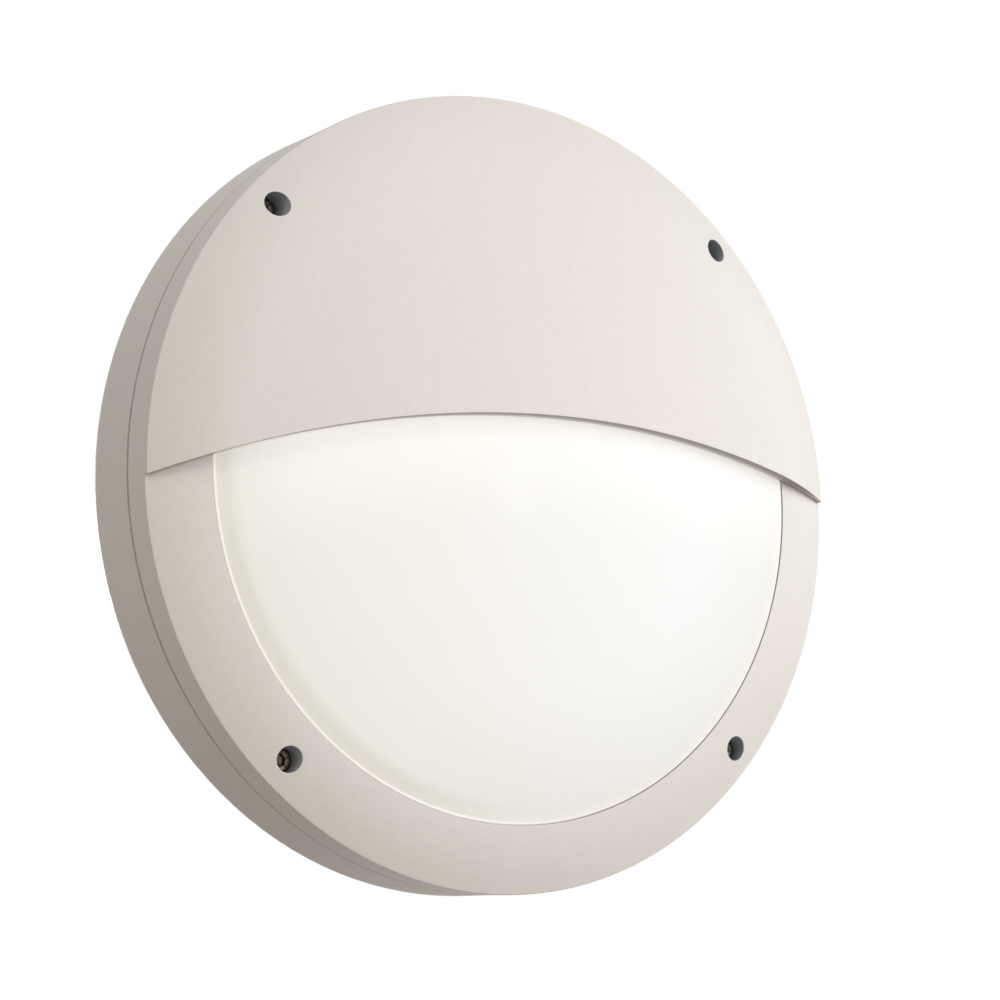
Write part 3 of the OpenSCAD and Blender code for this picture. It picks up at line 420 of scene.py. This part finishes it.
def powder_coat(name, settings, wells):
    """Cream powder coat with fine grain and painted shade in the seam; wells adds the lip's painted
    shade and grey screw wells.
    """
    finish = Finish(name)
    grain = finish.noise(settings.grain_size, 3.0, 0.6)
    specks = finish.noise(settings.grain_size * 0.33, 1.0, 0.5)
    clouds = finish.noise(0.06, 2.0, 0.5)
    mottle = finish.noise(settings.grain_size * 2.2, 2.0, 0.6)
    x, y, _ = finish.axes()
    coat = settings.coat_colour
    tone = finish.tint(clouds, darker(coat, 0.985), darker(coat, 1.01))
    tone = finish.tint(mottle.fade(0.35, 0.7) * 0.5, tone, darker(coat, 0.955))
    tone = finish.tint(specks.fade(0.6, 0.8) * 0.35, tone, darker(coat, 0.93))
    # Painted shade in the seam between housing and casing: dark on the left, gone toward the right.
    from_seam = abs(y + settings.seam_place)
    seam = from_seam.fade(settings.seam_width * 0.55, settings.seam_width * 0.7, 0.7, 0.0)
    seam = seam * x.fade(settings.seam_shade_full, settings.seam_shade_gone, 0.85, 0.0)
    tone = finish.tint(seam, tone, darker(coat, 0.2))
    rough = 0.5 + (grain - 0.5) * 0.24
    metallic = 0.0
    if wells:
        tone = lip_shade(finish, settings, tone)
        # Screw wells: darker, part-metallic grey, partly bare metal and partly painted shade.
        bare = well_mask(finish, settings)
        tone = finish.tint(bare, tone, settings.bare_and_shade_colour)
        rough = rough - bare * 0.12
        metallic = bare * 0.3
    edges = finish.soft_edges(settings.edge_round)
    normal = finish.bump(grain + specks * 0.3, 0.1 * MM, 0.4, edges)
    return finish.surface(base_color=tone, roughness=rough, metallic=metallic, normal=normal)


def opal(name, settings):
    """Milky moulded lens; its glow is painted light, brighter to the right and under the lip, and sinks
    along the round edge.
    """
    finish = Finish(name)
    clouds = finish.noise(0.05, 2.0, 0.5)
    ripple = finish.noise(0.004, 1.0, 0.4)
    dust = finish.noise(0.0006, 1.0, 0.5)
    x, _, z = finish.axes()
    inside = settings.moon_radius - x.reach(z - settings.moon_lift)
    under = settings.arch_radius - x.reach(z + settings.arch_drop)
    wall = inside.fade(settings.edge_width, settings.wall_depth, 0.4, 0.0)
    tone = finish.tint(clouds, darker(settings.lens_colour, 0.99), settings.lens_colour)
    tone = finish.tint(wall, tone, settings.wall_colour)
    # Painted light: the glow is brighter toward the right, where the studio lamps fall.
    side = x.fade(settings.near_side, settings.far_side)
    glow = finish.tint(side, settings.glow_colour, settings.far_colour)
    glow = finish.tint(clouds * 0.04, glow, BLACK)
    # Painted shade along the round edge: narrow and strong on the left, wide on the right.
    narrow = inside.fade(1.0 * MM, settings.shade_depth * 0.22, 0.47, 0.0)
    narrow = narrow * x.fade(settings.shade_turn, 0.0, 1.0, 0.15)
    wide = inside.fade(0.0, settings.shade_depth, 0.2, 0.0)
    wide = wide * x.fade(settings.shade_turn, 0.0, 0.45, 1.0)
    glow = finish.tint(narrow + wide, glow, settings.shade_colour)
    glow = finish.tint(wall, glow, darker(settings.wall_colour, 0.52))
    # Painted light under the lip, which cancels the lip's shadow on the lens.
    rise = under.fade(0.0, settings.rise_width, 0.24, 0.0)
    rise = rise.most(under.fade(0.0, settings.rise_width * 0.2, 0.5, 0.0))
    rise = rise * x.fade(settings.rise_start, settings.rise_full, 0.3, 1.0)
    glow = finish.tint(rise, glow, settings.rise_light_colour)
    # Painted highlight along the rounded edge, brightest on the left.
    edge = inside.fade(settings.edge_width * 0.6, settings.edge_width * 1.2, 1.0, 0.0)
    edge = edge * x.fade(settings.edge_start, settings.edge_stop, 1.0, 0.1)
    glow = finish.tint(edge, glow, settings.edge_highlight_colour)
    # Painted shade: the covered flange is darker and has no glow.
    flange = inside.least(under).fade(-0.9 * MM, -0.4 * MM, 1.0, 0.0)
    tone = finish.tint(flange, tone, darker(settings.lens_colour, 0.6))
    glow = finish.tint(flange, glow, BLACK)
    rough = 0.48 + ripple * 0.06 + dust * 0.04
    edges = finish.soft_edges(0.5 * MM)
    normal = finish.bump(ripple, 0.02 * MM, 0.2, edges)
    return finish.surface(
        base_color=tone, roughness=rough, emission_color=glow, emission_strength=settings.glow,
        specular_ior_level=0.25, subsurface_weight=0.2, subsurface_radius=(0.006, 0.006, 0.005),
        normal=normal)


def rubber(name, colour):
    """Matt rubber with a dusty bloom."""
    finish = Finish(name)
    bloom = finish.noise(0.008, 3.0, 0.6)
    pores = finish.noise(0.0005, 2.0, 0.5)
    tone = finish.tint(bloom.fade(0.4, 0.75) * 0.5, colour, tuple(c + 0.03 for c in colour))
    normal = finish.bump(pores, 0.05 * MM, 0.4)
    return finish.surface(base_color=tone, roughness=0.75 + bloom * 0.15, normal=normal)


def metal(name, colour, gloss):
    """Plain or plated metal with fine tool marks and a slightly uneven shine."""
    finish = Finish(name)
    marks = finish.noise(0.0004, 2.0, 0.6)
    stains = finish.noise(0.006, 3.0, 0.6)
    tone = finish.tint(stains, darker(colour, 0.86), colour)
    rough = gloss + (marks - 0.5) * 0.2 + stains * 0.08
    normal = finish.bump(marks, 0.012 * MM, 0.5)
    return finish.surface(base_color=tone, roughness=rough, metallic=1.0, normal=normal)


def painted_sheet(name, colour):
    """Sheet painted bright white, with the faint peel of a stove enamel."""
    finish = Finish(name)
    peel = finish.noise(0.0016, 2.0, 0.5)
    clouds = finish.noise(0.05, 2.0, 0.5)
    tone = finish.tint(clouds, darker(colour, 0.96), colour)
    normal = finish.bump(peel, 0.03 * MM, 0.3)
    return finish.surface(base_color=tone, roughness=0.35 + peel * 0.1, normal=normal)


def moulding(name, colour):
    """Moulded plastic with a fine spark-eroded skin."""
    finish = Finish(name)
    skin = finish.noise(0.0005, 2.0, 0.6)
    clouds = finish.noise(0.03, 2.0, 0.5)
    tone = finish.tint(clouds, darker(colour, 0.95), colour)
    normal = finish.bump(skin, 0.03 * MM, 0.4)
    return finish.surface(base_color=tone, roughness=0.42 + skin * 0.14, normal=normal)


def board_mask(name, colour, step, first):
    """White solder mask with ring-shaped tracks showing faintly through it."""
    finish = Finish(name)
    x, _, z = finish.axes()
    wave = ((x.reach(z) - first) * (2.0 * math.pi / step)).sine()
    tracks = wave.fade(0.2, 0.35)
    weave = finish.noise(0.0008, 2.0, 0.5)
    tone = finish.tint(tracks, darker(colour, 0.9), colour)
    normal = finish.bump(tracks + weave * 0.1, 0.035 * MM, 0.6)
    return finish.surface(base_color=tone, roughness=0.28 + weave * 0.14, normal=normal)


def phosphor(name, frame_colour, window_colour):
    """White package frame around a yellow window, told apart by the mesh's own attribute."""
    finish = Finish(name)
    window = finish.add("ShaderNodeAttribute", {"attribute_name": "window"}).outputs["Fac"]
    grains = finish.noise(0.00025, 2.0, 0.6)
    yellow = finish.tint(grains, darker(window_colour, 0.85), window_colour)
    tone = finish.tint(Field(finish, window), frame_colour, yellow)
    normal = finish.bump(grains, 0.01 * MM, 0.4)
    return finish.surface(base_color=tone, roughness=0.3 + grains * 0.2, normal=normal)


def insulation(name, colour):
    """Extruded wire skin: smooth, with a slight drawn-out unevenness."""
    finish = Finish(name)
    drawn = finish.noise(0.002, 2.0, 0.5)
    tone = finish.tint(drawn, darker(colour, 0.85), colour)
    normal = finish.bump(drawn, 0.03 * MM, 0.3)
    return finish.surface(base_color=tone, roughness=0.38 + drawn * 0.14, normal=normal)


def dress(material, *names):
    """Gives CAD nodes a finish."""
    for name in names:
        slots = NODES[name].data.materials
        for index in range(len(slots)):
            slots[index] = material


# Turned pieces

def circle_ring(radius, height, count, dip=0.0, lobes=0):
    """Points of one level ring; dip is how deep the grooves between its lobes are."""
    ring = []
    for i in range(count):
        angle = 2.0 * math.pi * i / count
        out = radius - dip * (0.5 - 0.5 * math.cos(lobes * angle)) if lobes else radius
        ring.append((out * math.cos(angle), out * math.sin(angle), height))
    return ring


def hexagon_ring(across, height, count):
    """Points of one level hexagon, across its flats."""
    ring = []
    for i in range(count):
        angle = 2.0 * math.pi * i / count
        side = (angle + math.pi / 6.0) % (math.pi / 3.0) - math.pi / 6.0
        out = across / 2.0 / math.cos(side)
        ring.append((out * math.cos(angle), out * math.sin(angle), height))
    return ring


def cross_ring(reach, half_width, height, count):
    """Points of one level cross with four arms."""
    ring = []
    for i in range(count):
        angle = 2.0 * math.pi * i / count
        c = max(abs(math.cos(angle)), 1e-9)
        s = max(abs(math.sin(angle)), 1e-9)
        out = max(min(reach / c, half_width / s), min(half_width / c, reach / s))
        ring.append((out * math.cos(angle), out * math.sin(angle), height))
    return ring


def thread_rings(radius, depth, pitch, bottom, top, count):
    """Level rings of a screw thread that fades in at both ends."""
    steps = max(8, round((top - bottom) / pitch * 4))
    rings = []
    for k in range(steps + 1):
        height = bottom + (top - bottom) * k / steps
        fade = min(1.0, 0.5 * k, 0.5 * (steps - k))
        ring = []
        for i in range(count):
            angle = 2.0 * math.pi * i / count
            share = (height / pitch - i / count) % 1.0
            out = radius - depth * fade * abs(2.0 * share - 1.0)
            ring.append((out * math.cos(angle), out * math.sin(angle), height))
        rings.append(ring)
    return rings


def skin(name, rings):
    """Mesh through rings of equal counts, closed at both ends, smooth below the sharp angle."""
    shell = bmesh.new()
    rows = [[shell.verts.new(point) for point in ring] for ring in rings]
    count = len(rows[0])
    for lower, upper in zip(rows, rows[1:]):
        for i in range(count):
            j = (i + 1) % count
            shell.faces.new((lower[i], lower[j], upper[j], upper[i]))
    shell.faces.new(list(reversed(rows[0])))
    shell.faces.new(rows[-1])
    bmesh.ops.recalc_face_normals(shell, faces=shell.faces)
    for face in shell.faces:
        face.smooth = True
    mesh = bpy.data.meshes.new(name)
    shell.to_mesh(mesh)
    shell.free()
    mesh.set_sharp_from_angle(angle=SHARP_ANGLE)
    return mesh


def socket_screw(name, settings, tip, under, top):
    """Socket cap screw with a knurled head and a cut thread; heights are distances from the wall."""
    count = 6 * max(8, 2 * settings.knurls // 6)
    shank = 2.5 * MM
    thread = 0.42 * MM
    head = 4.25 * MM
    fillet = 0.3 * MM
    chamfer = 0.2 * MM
    knurl = 0.16 * MM
    across = settings.socket_width
    first = tip + 0.5 * MM
    last = under - 1.2 * MM
    rings = [circle_ring(1.9 * MM, tip, count)]
    rings += thread_rings(shank, thread, settings.thread_pitch, first, last, count)
    rings.append(circle_ring(shank, under - fillet, count))
    rings.append(circle_ring(shank + fillet, under, count))
    rings.append(circle_ring(head - chamfer, under, count))
    rings.append(circle_ring(head, under + chamfer, count, knurl, settings.knurls))
    rings.append(circle_ring(head, top - 0.75 * MM, count, knurl, settings.knurls))
    rings.append(circle_ring(head - 0.12 * MM, top - 0.45 * MM, count))
    rings.append(circle_ring(head - 0.5 * MM, top, count))
    rings.append(circle_ring(across * 0.62, top, count))
    rings.append(hexagon_ring(across, top - 0.25 * MM, count))
    rings.append(hexagon_ring(across, top - 2.5 * MM, count))
    rings.append(circle_ring(across * 0.42, top - 2.6 * MM, count))
    rings.append(circle_ring(0.15 * MM, top - 3.0 * MM, count))
    return skin(name, rings)


def pan_screw(name, shank, length, head, head_height, under):
    """Pan head screw with a cross recess and a cut thread; under is the underside of the head."""
    count = 48
    radius = shank / 2.0
    top = under + head_height
    tip = under - length
    rings = [circle_ring(radius * 0.6, tip, count)]
    rings += thread_rings(radius, shank * 0.08, shank * 0.18, tip + 0.4 * MM, under - 0.3 * MM, count)
    rings.append(circle_ring(radius, under, count))
    rings.append(circle_ring(head * 0.48, under, count))
    rings.append(circle_ring(head * 0.5, under + head_height * 0.15, count))
    rings.append(circle_ring(head * 0.49, under + head_height * 0.55, count))
    rings.append(circle_ring(head * 0.44, under + head_height * 0.8, count))
    rings.append(circle_ring(head * 0.36, top - head_height * 0.04, count))
    rings.append(circle_ring(head * 0.3, top, count))
    rings.append(cross_ring(head * 0.26, head * 0.07, top, count))
    rings.append(cross_ring(head * 0.2, head * 0.05, top - head_height * 0.5, count))
    rings.append(circle_ring(head * 0.03, top - head_height * 0.6, count))
    return skin(name, rings)


def light_package(name, side, height, base):
    """Square light-emitting package with a sunk window; the window is marked on its faces."""
    half = side / 2.0
    window = side * 0.4
    top = base + height

    def square(reach, level):
        """Points of one level square: each corner and one point on the side after it."""
        points = []
        for a, b in ((1, 1), (-1, 1), (-1, -1), (1, -1)):
            points.append((a * reach, b * reach, level))
            if a * b < 0:
                points.append((a * reach, b * reach * 0.2, level))
            else:
                points.append((a * reach * 0.2, b * reach, level))
        return points

    rings = [
        square(half, base),
        square(half, top - height * 0.15),
        square(half * 0.96, top),
        square(window, top),
        square(window * 0.94, top - height * 0.2),
    ]
    mesh = skin(name, rings)
    mark = mesh.attributes.new("window", "FLOAT", "FACE")
    for face in mesh.polygons:
        inside = all(max(abs(mesh.vertices[v].co.x), abs(mesh.vertices[v].co.y)) < window * 1.001
                     for v in face.vertices)
        mark.data[face.index].value = 1.0 if inside else 0.0
    return mesh


# Geometry nodes

class Layout(Nodes):
    """A geometry node tree with named inputs."""

    def __init__(self, name):
        super().__init__(bpy.data.node_groups.new(name, "GeometryNodeTree"))
        self.names = {}
        self.tree.interface.new_socket("Piece", in_out="INPUT", socket_type="NodeSocketGeometry")
        self.tree.interface.new_socket("Pieces", in_out="OUTPUT", socket_type="NodeSocketGeometry")
        self.inlet = self.add("NodeGroupInput")
        self.outlet = self.add("NodeGroupOutput")

    def input(self, name, kind):
        """Adds a named input and returns its socket inside the tree."""
        item = self.tree.interface.new_socket(name, in_out="INPUT", socket_type=kind)
        self.names[name] = item.identifier
        return self.inlet.outputs[name]

    def end(self, points, finish, centre):
        """Puts a piece on every point, turned outward, stands the result on the wall and realizes it."""
        place = self.add("GeometryNodeInputPosition").outputs[0]
        turn = self.add(
            "FunctionNodeAlignRotationToVector", {"axis": "X", "pivot_axis": "Z"}, {"Vector": place})
        spread = self.add("GeometryNodeInstanceOnPoints", None, {
            "Points": points, "Instance": self.inlet.outputs["Piece"], "Rotation": turn.outputs[0]})
        stood = self.add("GeometryNodeTransform", None, {
            "Geometry": spread.outputs[0], "Rotation": (math.pi / 2.0, 0.0, 0.0), "Translation": centre})
        real = self.add("GeometryNodeRealizeInstances", None, {"Geometry": stood.outputs[0]})
        painted = self.add("GeometryNodeSetMaterial", None, {
            "Geometry": real.outputs[0], "Material": finish})
        self.join(self.outlet.inputs["Pieces"], painted.outputs[0])

    def circle(self, count, radius, first):
        """Points on a circle from a first angle, one or more."""
        index = Field(self, self.add("GeometryNodeInputIndex").outputs[0])
        angle = index / count * math.tau + first
        place = self.add("ShaderNodeCombineXYZ", None, {
            "X": (angle + math.pi / 2.0).sine() * radius, "Y": angle.sine() * radius})
        points = self.add("GeometryNodePoints", None, {"Count": count, "Position": place.outputs[0]})
        return points.outputs[0]


def ring_layout():
    """Tree that repeats a piece on one circle."""
    layout = Layout("ring_of_pieces")
    count = layout.input("Count", "NodeSocketInt")
    radius = layout.input("Circle Radius", "NodeSocketFloat")
    first = layout.input("First Angle", "NodeSocketFloat")
    centre = layout.input("Centre", "NodeSocketVector")
    finish = layout.input("Finish", "NodeSocketMaterial")
    layout.end(layout.circle(count, radius, first), finish, centre)
    return layout


def light_layout():
    """Tree that repeats a light package on three circles, with one more set of packages on each."""
    layout = Layout("rings_of_light_packages")
    inner = layout.input("Inner Radius", "NodeSocketFloat")
    step = layout.input("Ring Step", "NodeSocketFloat")
    count = layout.input("Inner Count", "NodeSocketInt")
    finish = layout.input("Finish", "NodeSocketMaterial")
    joined = layout.add("GeometryNodeJoinGeometry")
    first_angles = (0.0, 15.0, 10.0)
    for ring, first in enumerate(first_angles):
        more = layout.add("ShaderNodeMath", {"operation": "MULTIPLY_ADD"}, {
            0: step, 1: float(ring), 2: inner})
        many = layout.add("ShaderNodeMath", {"operation": "MULTIPLY"}, {0: count, 1: ring + 1.0})
        points = layout.circle(many.outputs[0], more.outputs[0], math.radians(first))
        layout.join(joined.inputs[0], points)
    layout.end(joined.outputs[0], finish, ORIGIN)
    return layout


def lay_out(name, mesh, layout, values):
    """Runs a layout on one piece and keeps the result as a plain mesh object at the origin."""
    piece = bpy.data.objects.new(name, mesh)
    bpy.context.scene.collection.objects.link(piece)
    modifier = piece.modifiers.new("Layout", "NODES")
    modifier.node_group = layout.tree
    for word, value in values.items():
        modifier[layout.names[word]] = value
    bpy.context.view_layer.update()
    graph = bpy.context.evaluated_depsgraph_get()
    result = bpy.data.meshes.new_from_object(piece.evaluated_get(graph))
    result.name = name
    piece.modifiers.remove(modifier)
    piece.data = result
    return piece


def stand_for(piece, slot, *names):
    """The piece rides with the body and is shown in place of CAD nodes."""
    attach(piece, BODY)
    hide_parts(*names)


def near_far(name):
    """Least and greatest distance of a node from the wall."""
    low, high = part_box(name)
    return -high.y, -low.y


def head_circle(node):
    """Greatest sideways place of the middles of a node's screws."""
    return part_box(node)[1].x - PAN_SCREWS[node][1] * MM / 2.0


def lay_screws(name, node, slot, values):
    """Lays out pan head screws and shows them in place of a node."""
    shank, head, head_height = [size * MM for size in PAN_SCREWS[node]]
    near, far = near_far(node)
    under = far - head_height
    mesh = pan_screw(name + "_one", shank, under - near, head, head_height, under)
    stand_for(lay_out(name, mesh, ring_layout(), values), slot, node)


# Operators

class LIGHT_OT_castings(bpy.types.Operator):
    """Coat the front casing and the rear housing"""

    bl_idname = "light.castings"
    bl_label = "Castings"

    def execute(self, context):
        settings = context.scene.light_casing
        dress(powder_coat("coated_casing", settings, True), "front_casing")
        dress(powder_coat("coated_housing", settings, False), "rear_housing")
        return {"FINISHED"}


class LIGHT_OT_lens(bpy.types.Operator):
    """Give the lens its opal finish"""

    bl_idname = "light.lens"
    bl_label = "Lens"

    def execute(self, context):
        dress(opal("opal_moulding", context.scene.light_lens), "diffuser")
        return {"FINISHED"}


class LIGHT_OT_cover_screws(bpy.types.Operator):
    """Make the four socket screws of the cover"""

    bl_idname = "light.cover_screws"
    bl_label = "Cover screws"

    def execute(self, context):
        settings = context.scene.light_fasteners
        head_height = 5.0 * MM
        tip, top = near_far("cover_screws")
        mesh = socket_screw("socket_screw", settings, tip, top - head_height, top)
        # The screws' near-black colour is painted shade of the deep wells they sit in.
        piece = lay_out("socket_screws", mesh, ring_layout(), {
            "Count": 4, "Circle Radius": settings.screw_circle, "First Angle": math.radians(45.0),
            "Centre": ORIGIN,
            "Finish": metal("blackened_screws", (0.11, 0.09, 0.072), 0.2)})
        stand_for(piece, "stainless_steel", "cover_screws")
        return {"FINISHED"}


class LIGHT_OT_seals(bpy.types.Operator):
    """Finish the gasket and the cable grommet"""

    bl_idname = "light.seals"
    bl_label = "Seals"

    def execute(self, context):
        dress(rubber("gasket_rubber", (0.03, 0.03, 0.03)), "housing_gasket")
        dress(rubber("grommet_rubber", (0.025, 0.025, 0.027)), "cable_grommet")
        return {"FINISHED"}


class LIGHT_OT_light_unit(bpy.types.Operator):
    """Finish the tray and board and make their screws and light packages"""

    bl_idname = "light.light_unit"
    bl_label = "Light unit"

    def execute(self, context):
        settings = context.scene.light_unit
        radius = settings.ring_radius
        step = settings.ring_step
        dress(painted_sheet("tray_enamel", (0.82, 0.82, 0.81)), "gear_tray")
        dress(board_mask("board_mask", (0.84, 0.85, 0.84), step, radius), "led_board")
        dress(moulding("connector_moulding", (0.8, 0.8, 0.78)), "board_connector")
        base, top = near_far("leds")
        package = light_package("light_package", settings.package_side, top - base, base)
        piece = lay_out("light_packages", package, light_layout(), {
            "Inner Radius": radius, "Ring Step": step, "Inner Count": settings.ring_count,
            "Finish": phosphor("package_phosphor", (0.8, 0.8, 0.78), (0.85, 0.62, 0.12))})
        stand_for(piece, "phosphor", "leds")
        plated = metal("zinc_light_screws", (0.66, 0.66, 0.64), 0.3)
        for name, node, degrees in (
                ("tray_fixings", "tray_screws", 0.0),
                ("board_fixings", "led_board_screws", 45.0)):
            first = math.radians(degrees)
            lay_screws(name, node, "zinc_steel", {
                "Count": 4, "Circle Radius": head_circle(node) / math.cos(first), "First Angle": first,
                "Centre": ORIGIN, "Finish": plated})
        return {"FINISHED"}


class LIGHT_OT_gear(bpy.types.Operator):
    """Finish the driver, the terminal block and the earth point"""

    bl_idname = "light.gear"
    bl_label = "Gear"

    def execute(self, context):
        dress(moulding("driver_moulding", (0.78, 0.78, 0.77)), "led_driver")
        dress(moulding("block_moulding", (0.8, 0.79, 0.74)), "terminal_block")
        plated = metal("zinc_gear_screws", (0.64, 0.64, 0.62), 0.32)
        dress(plated, "terminal_clamp_screws", "terminal_fixing_screws", "earth_washer")
        dress(metal("tinned_lug", (0.7, 0.69, 0.66), 0.35), "earth_lug")
        low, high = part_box("driver_screws")
        lay_screws("driver_fixings", "driver_screws", "zinc_steel", {
            "Count": 2, "Circle Radius": head_circle("driver_screws"), "First Angle": 0.0,
            "Centre": (0.0, 0.0, (low.z + high.z) / 2.0), "Finish": plated})
        low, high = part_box("earth_screw")
        lay_screws("earth_fixings", "earth_screw", "brass", {
            "Count": 1, "Circle Radius": (low.x + high.x) / 2.0, "First Angle": 0.0,
            "Centre": (0.0, 0.0, (low.z + high.z) / 2.0),
            "Finish": metal("brass_screw", (0.62, 0.46, 0.2), 0.3)})
        return {"FINISHED"}


class LIGHT_OT_wiring(bpy.types.Operator):
    """Finish the wires by their colours"""

    bl_idname = "light.wiring"
    bl_label = "Wiring"

    def execute(self, context):
        for name, colour in (
                ("wire_live", (0.16, 0.065, 0.025)),
                ("wire_neutral", (0.03, 0.12, 0.42)),
                ("wire_earth", (0.2, 0.42, 0.04)),
                ("wire_led_positive", (0.5, 0.02, 0.02)),
                ("wire_led_negative", (0.02, 0.02, 0.022))):
            dress(insulation(name + "_skin", colour), name)
        return {"FINISHED"}


class LIGHT_OT_studio(bpy.types.Operator):
    """Set the floor, the light and the camera"""

    bl_idname = "light.studio"
    bl_label = "Studio"

    def execute(self, context):
        settings = context.scene.light_studio
        self.add_floor(context, settings)
        self.add_world(context, settings)
        self.add_lamps(context, settings)
        self.add_camera(context, settings)
        context.scene.view_settings.view_transform = "Standard"
        return {"FINISHED"}

    def add_floor(self, context, settings):
        """Round floor that fades out into the background."""
        solid = 0.9
        gone = settings.floor_radius - 0.05
        shell = bmesh.new()
        bmesh.ops.create_circle(shell, cap_ends=True, segments=96, radius=settings.floor_radius)
        mesh = bpy.data.meshes.new("studio_floor")
        shell.to_mesh(mesh)
        shell.free()
        floor = bpy.data.objects.new("studio_floor", mesh)
        floor.location = (0.0, 0.0, -settings.floor_drop)
        context.scene.collection.objects.link(floor)
        finish = Finish("studio_floor")
        x, y, _ = finish.axes()
        clouds = finish.noise(0.4, 2.0, 0.5)
        tone = finish.tint(clouds, darker(settings.floor_colour, 0.985), settings.floor_colour)
        paint = finish.add("ShaderNodeBsdfDiffuse", None, {"Color": tone})
        clear = finish.add("ShaderNodeBsdfTransparent")
        mixed = finish.add("ShaderNodeMixShader", None, {
            0: x.reach(y).fade(solid, gone), 1: paint.outputs[0], 2: clear.outputs[0]})
        finish.join(finish.output.inputs["Surface"], mixed.outputs[0])
        mesh.materials.append(finish.material)

    def add_world(self, context, settings):
        """Even light in front of a white background."""
        world = bpy.data.worlds.new("studio_world")
        world.use_nodes = True
        context.scene.world = world
        sky = Nodes(world.node_tree)
        sky.tree.nodes.clear()
        fill = sky.add("ShaderNodeBackground", None, {
            "Color": (*settings.fill_colour, 1.0), "Strength": settings.fill})
        white = sky.add("ShaderNodeBackground", None, {"Color": (1.0, 1.0, 1.0, 1.0)})
        path = sky.add("ShaderNodeLightPath")
        seen = Field(sky, path.outputs["Is Camera Ray"])
        seen = seen.most(path.outputs["Is Glossy Ray"]).most(path.outputs["Is Transmission Ray"])
        choose = sky.add("ShaderNodeMixShader", None, {0: seen, 1: fill.outputs[0], 2: white.outputs[0]})
        sky.add("ShaderNodeOutputWorld", None, {"Surface": choose.outputs[0]})

    def add_lamps(self, context, settings):
        """Large soft lamps around the light and a small narrow one behind, each turned to its middle."""
        cool = settings.cool_colour
        warm = settings.warm_colour
        white = (1.0, 1.0, 1.0)
        soft = (1.3, 180.0)
        narrow = (0.3, 40.0)
        for name, way, (size, spread), power, colour in (
                ("top_lamp", (0.2, -0.75, 0.63), soft, settings.top_power, cool),
                ("right_lamp", (0.85, -0.5, 0.2), soft, settings.right_power, cool),
                ("front_lamp", (0.5, -0.85, 0.1), soft, settings.front_power, white),
                ("left_lamp", (-0.75, -0.3, 0.6), soft, settings.left_power, cool),
                ("warm_lamp", (-0.75, -0.45, 0.28), soft, settings.warm_power, warm),
                ("rear_lamp", (0.0, 1.0, 0.03), narrow, settings.rear_power, white)):
            lamp = bpy.data.lights.new(name, "AREA")
            lamp.shape = "DISK"
            lamp.size = size
            lamp.spread = math.radians(spread)
            lamp.energy = power
            lamp.color = colour
            stand = bpy.data.objects.new(name, lamp)
            way = Vector(way).normalized()
            stand.location = way * settings.lamp_distance
            stand.rotation_mode = "QUATERNION"
            stand.rotation_quaternion = way.to_track_quat("Z", "Y")
            context.scene.collection.objects.link(stand)

    def add_camera(self, context, settings):
        """Camera at the photograph's place, a little under the light and to its left."""
        yaw = math.radians(33.356)
        pitch = math.radians(6.907)
        roll = math.radians(-2.279)
        place = Vector((-0.5371, -0.8506, -0.1213))
        level = math.cos(pitch)
        ahead = Vector((math.sin(yaw) * level, math.cos(yaw) * level, math.sin(pitch)))
        right = Vector((math.cos(yaw), -math.sin(yaw), 0.0))
        up = right.cross(ahead)
        turned_right = math.cos(roll) * right + math.sin(roll) * up
        turned_up = math.cos(roll) * up - math.sin(roll) * right
        stand = Matrix((turned_right, turned_up, -ahead)).transposed().to_4x4()
        stand.translation = place
        camera = bpy.data.cameras.new("studio_camera")
        camera.sensor_width = 36.0
        camera.lens = settings.lens_length
        camera.clip_start = 0.01
        camera.clip_end = 50.0
        view = bpy.data.objects.new("studio_camera", camera)
        view.matrix_world = stand
        context.scene.collection.objects.link(view)
        context.scene.camera = view


class LIGHT_PT_panel(bpy.types.Panel):
    """Lists the steps that dress the light"""

    bl_idname = "LIGHT_PT_panel"
    bl_label = "Bulkhead light"
    bl_space_type = "VIEW_3D"
    bl_region_type = "UI"
    bl_category = "Light"

    def draw(self, context):
        for step in STEPS:
            self.layout.operator(step.bl_idname)
        for group in GROUPS:
            for name in GROUPS[group].__annotations__:
                self.layout.prop(getattr(context.scene, group), name)


GROUPS = {
    "light_casing": CasingSettings,
    "light_lens": LensSettings,
    "light_fasteners": FastenerSettings,
    "light_unit": UnitSettings,
    "light_studio": StudioSettings,
}
STEPS = (
    LIGHT_OT_castings,
    LIGHT_OT_lens,
    LIGHT_OT_cover_screws,
    LIGHT_OT_seals,
    LIGHT_OT_light_unit,
    LIGHT_OT_gear,
    LIGHT_OT_wiring,
    LIGHT_OT_studio,
)


def register():
    """Registers the settings, the steps and the panel."""
    for name, group in GROUPS.items():
        bpy.utils.register_class(group)
        setattr(bpy.types.Scene, name, PointerProperty(type=group))
    for step in STEPS:
        bpy.utils.register_class(step)
    bpy.utils.register_class(LIGHT_PT_panel)


def unregister():
    """Takes the panel, the steps and the settings away again."""
    bpy.utils.unregister_class(LIGHT_PT_panel)
    for step in reversed(STEPS):
        bpy.utils.unregister_class(step)
    for name, group in GROUPS.items():
        delattr(bpy.types.Scene, name)
        bpy.utils.unregister_class(group)


def main():
    """Runs every step in order."""
    register()
    bpy.ops.light.castings()
    bpy.ops.light.lens()
    bpy.ops.light.cover_screws()
    bpy.ops.light.seals()
    bpy.ops.light.light_unit()
    bpy.ops.light.gear()
    bpy.ops.light.wiring()
    bpy.ops.light.studio()


if __name__ == "__main__":
    main()
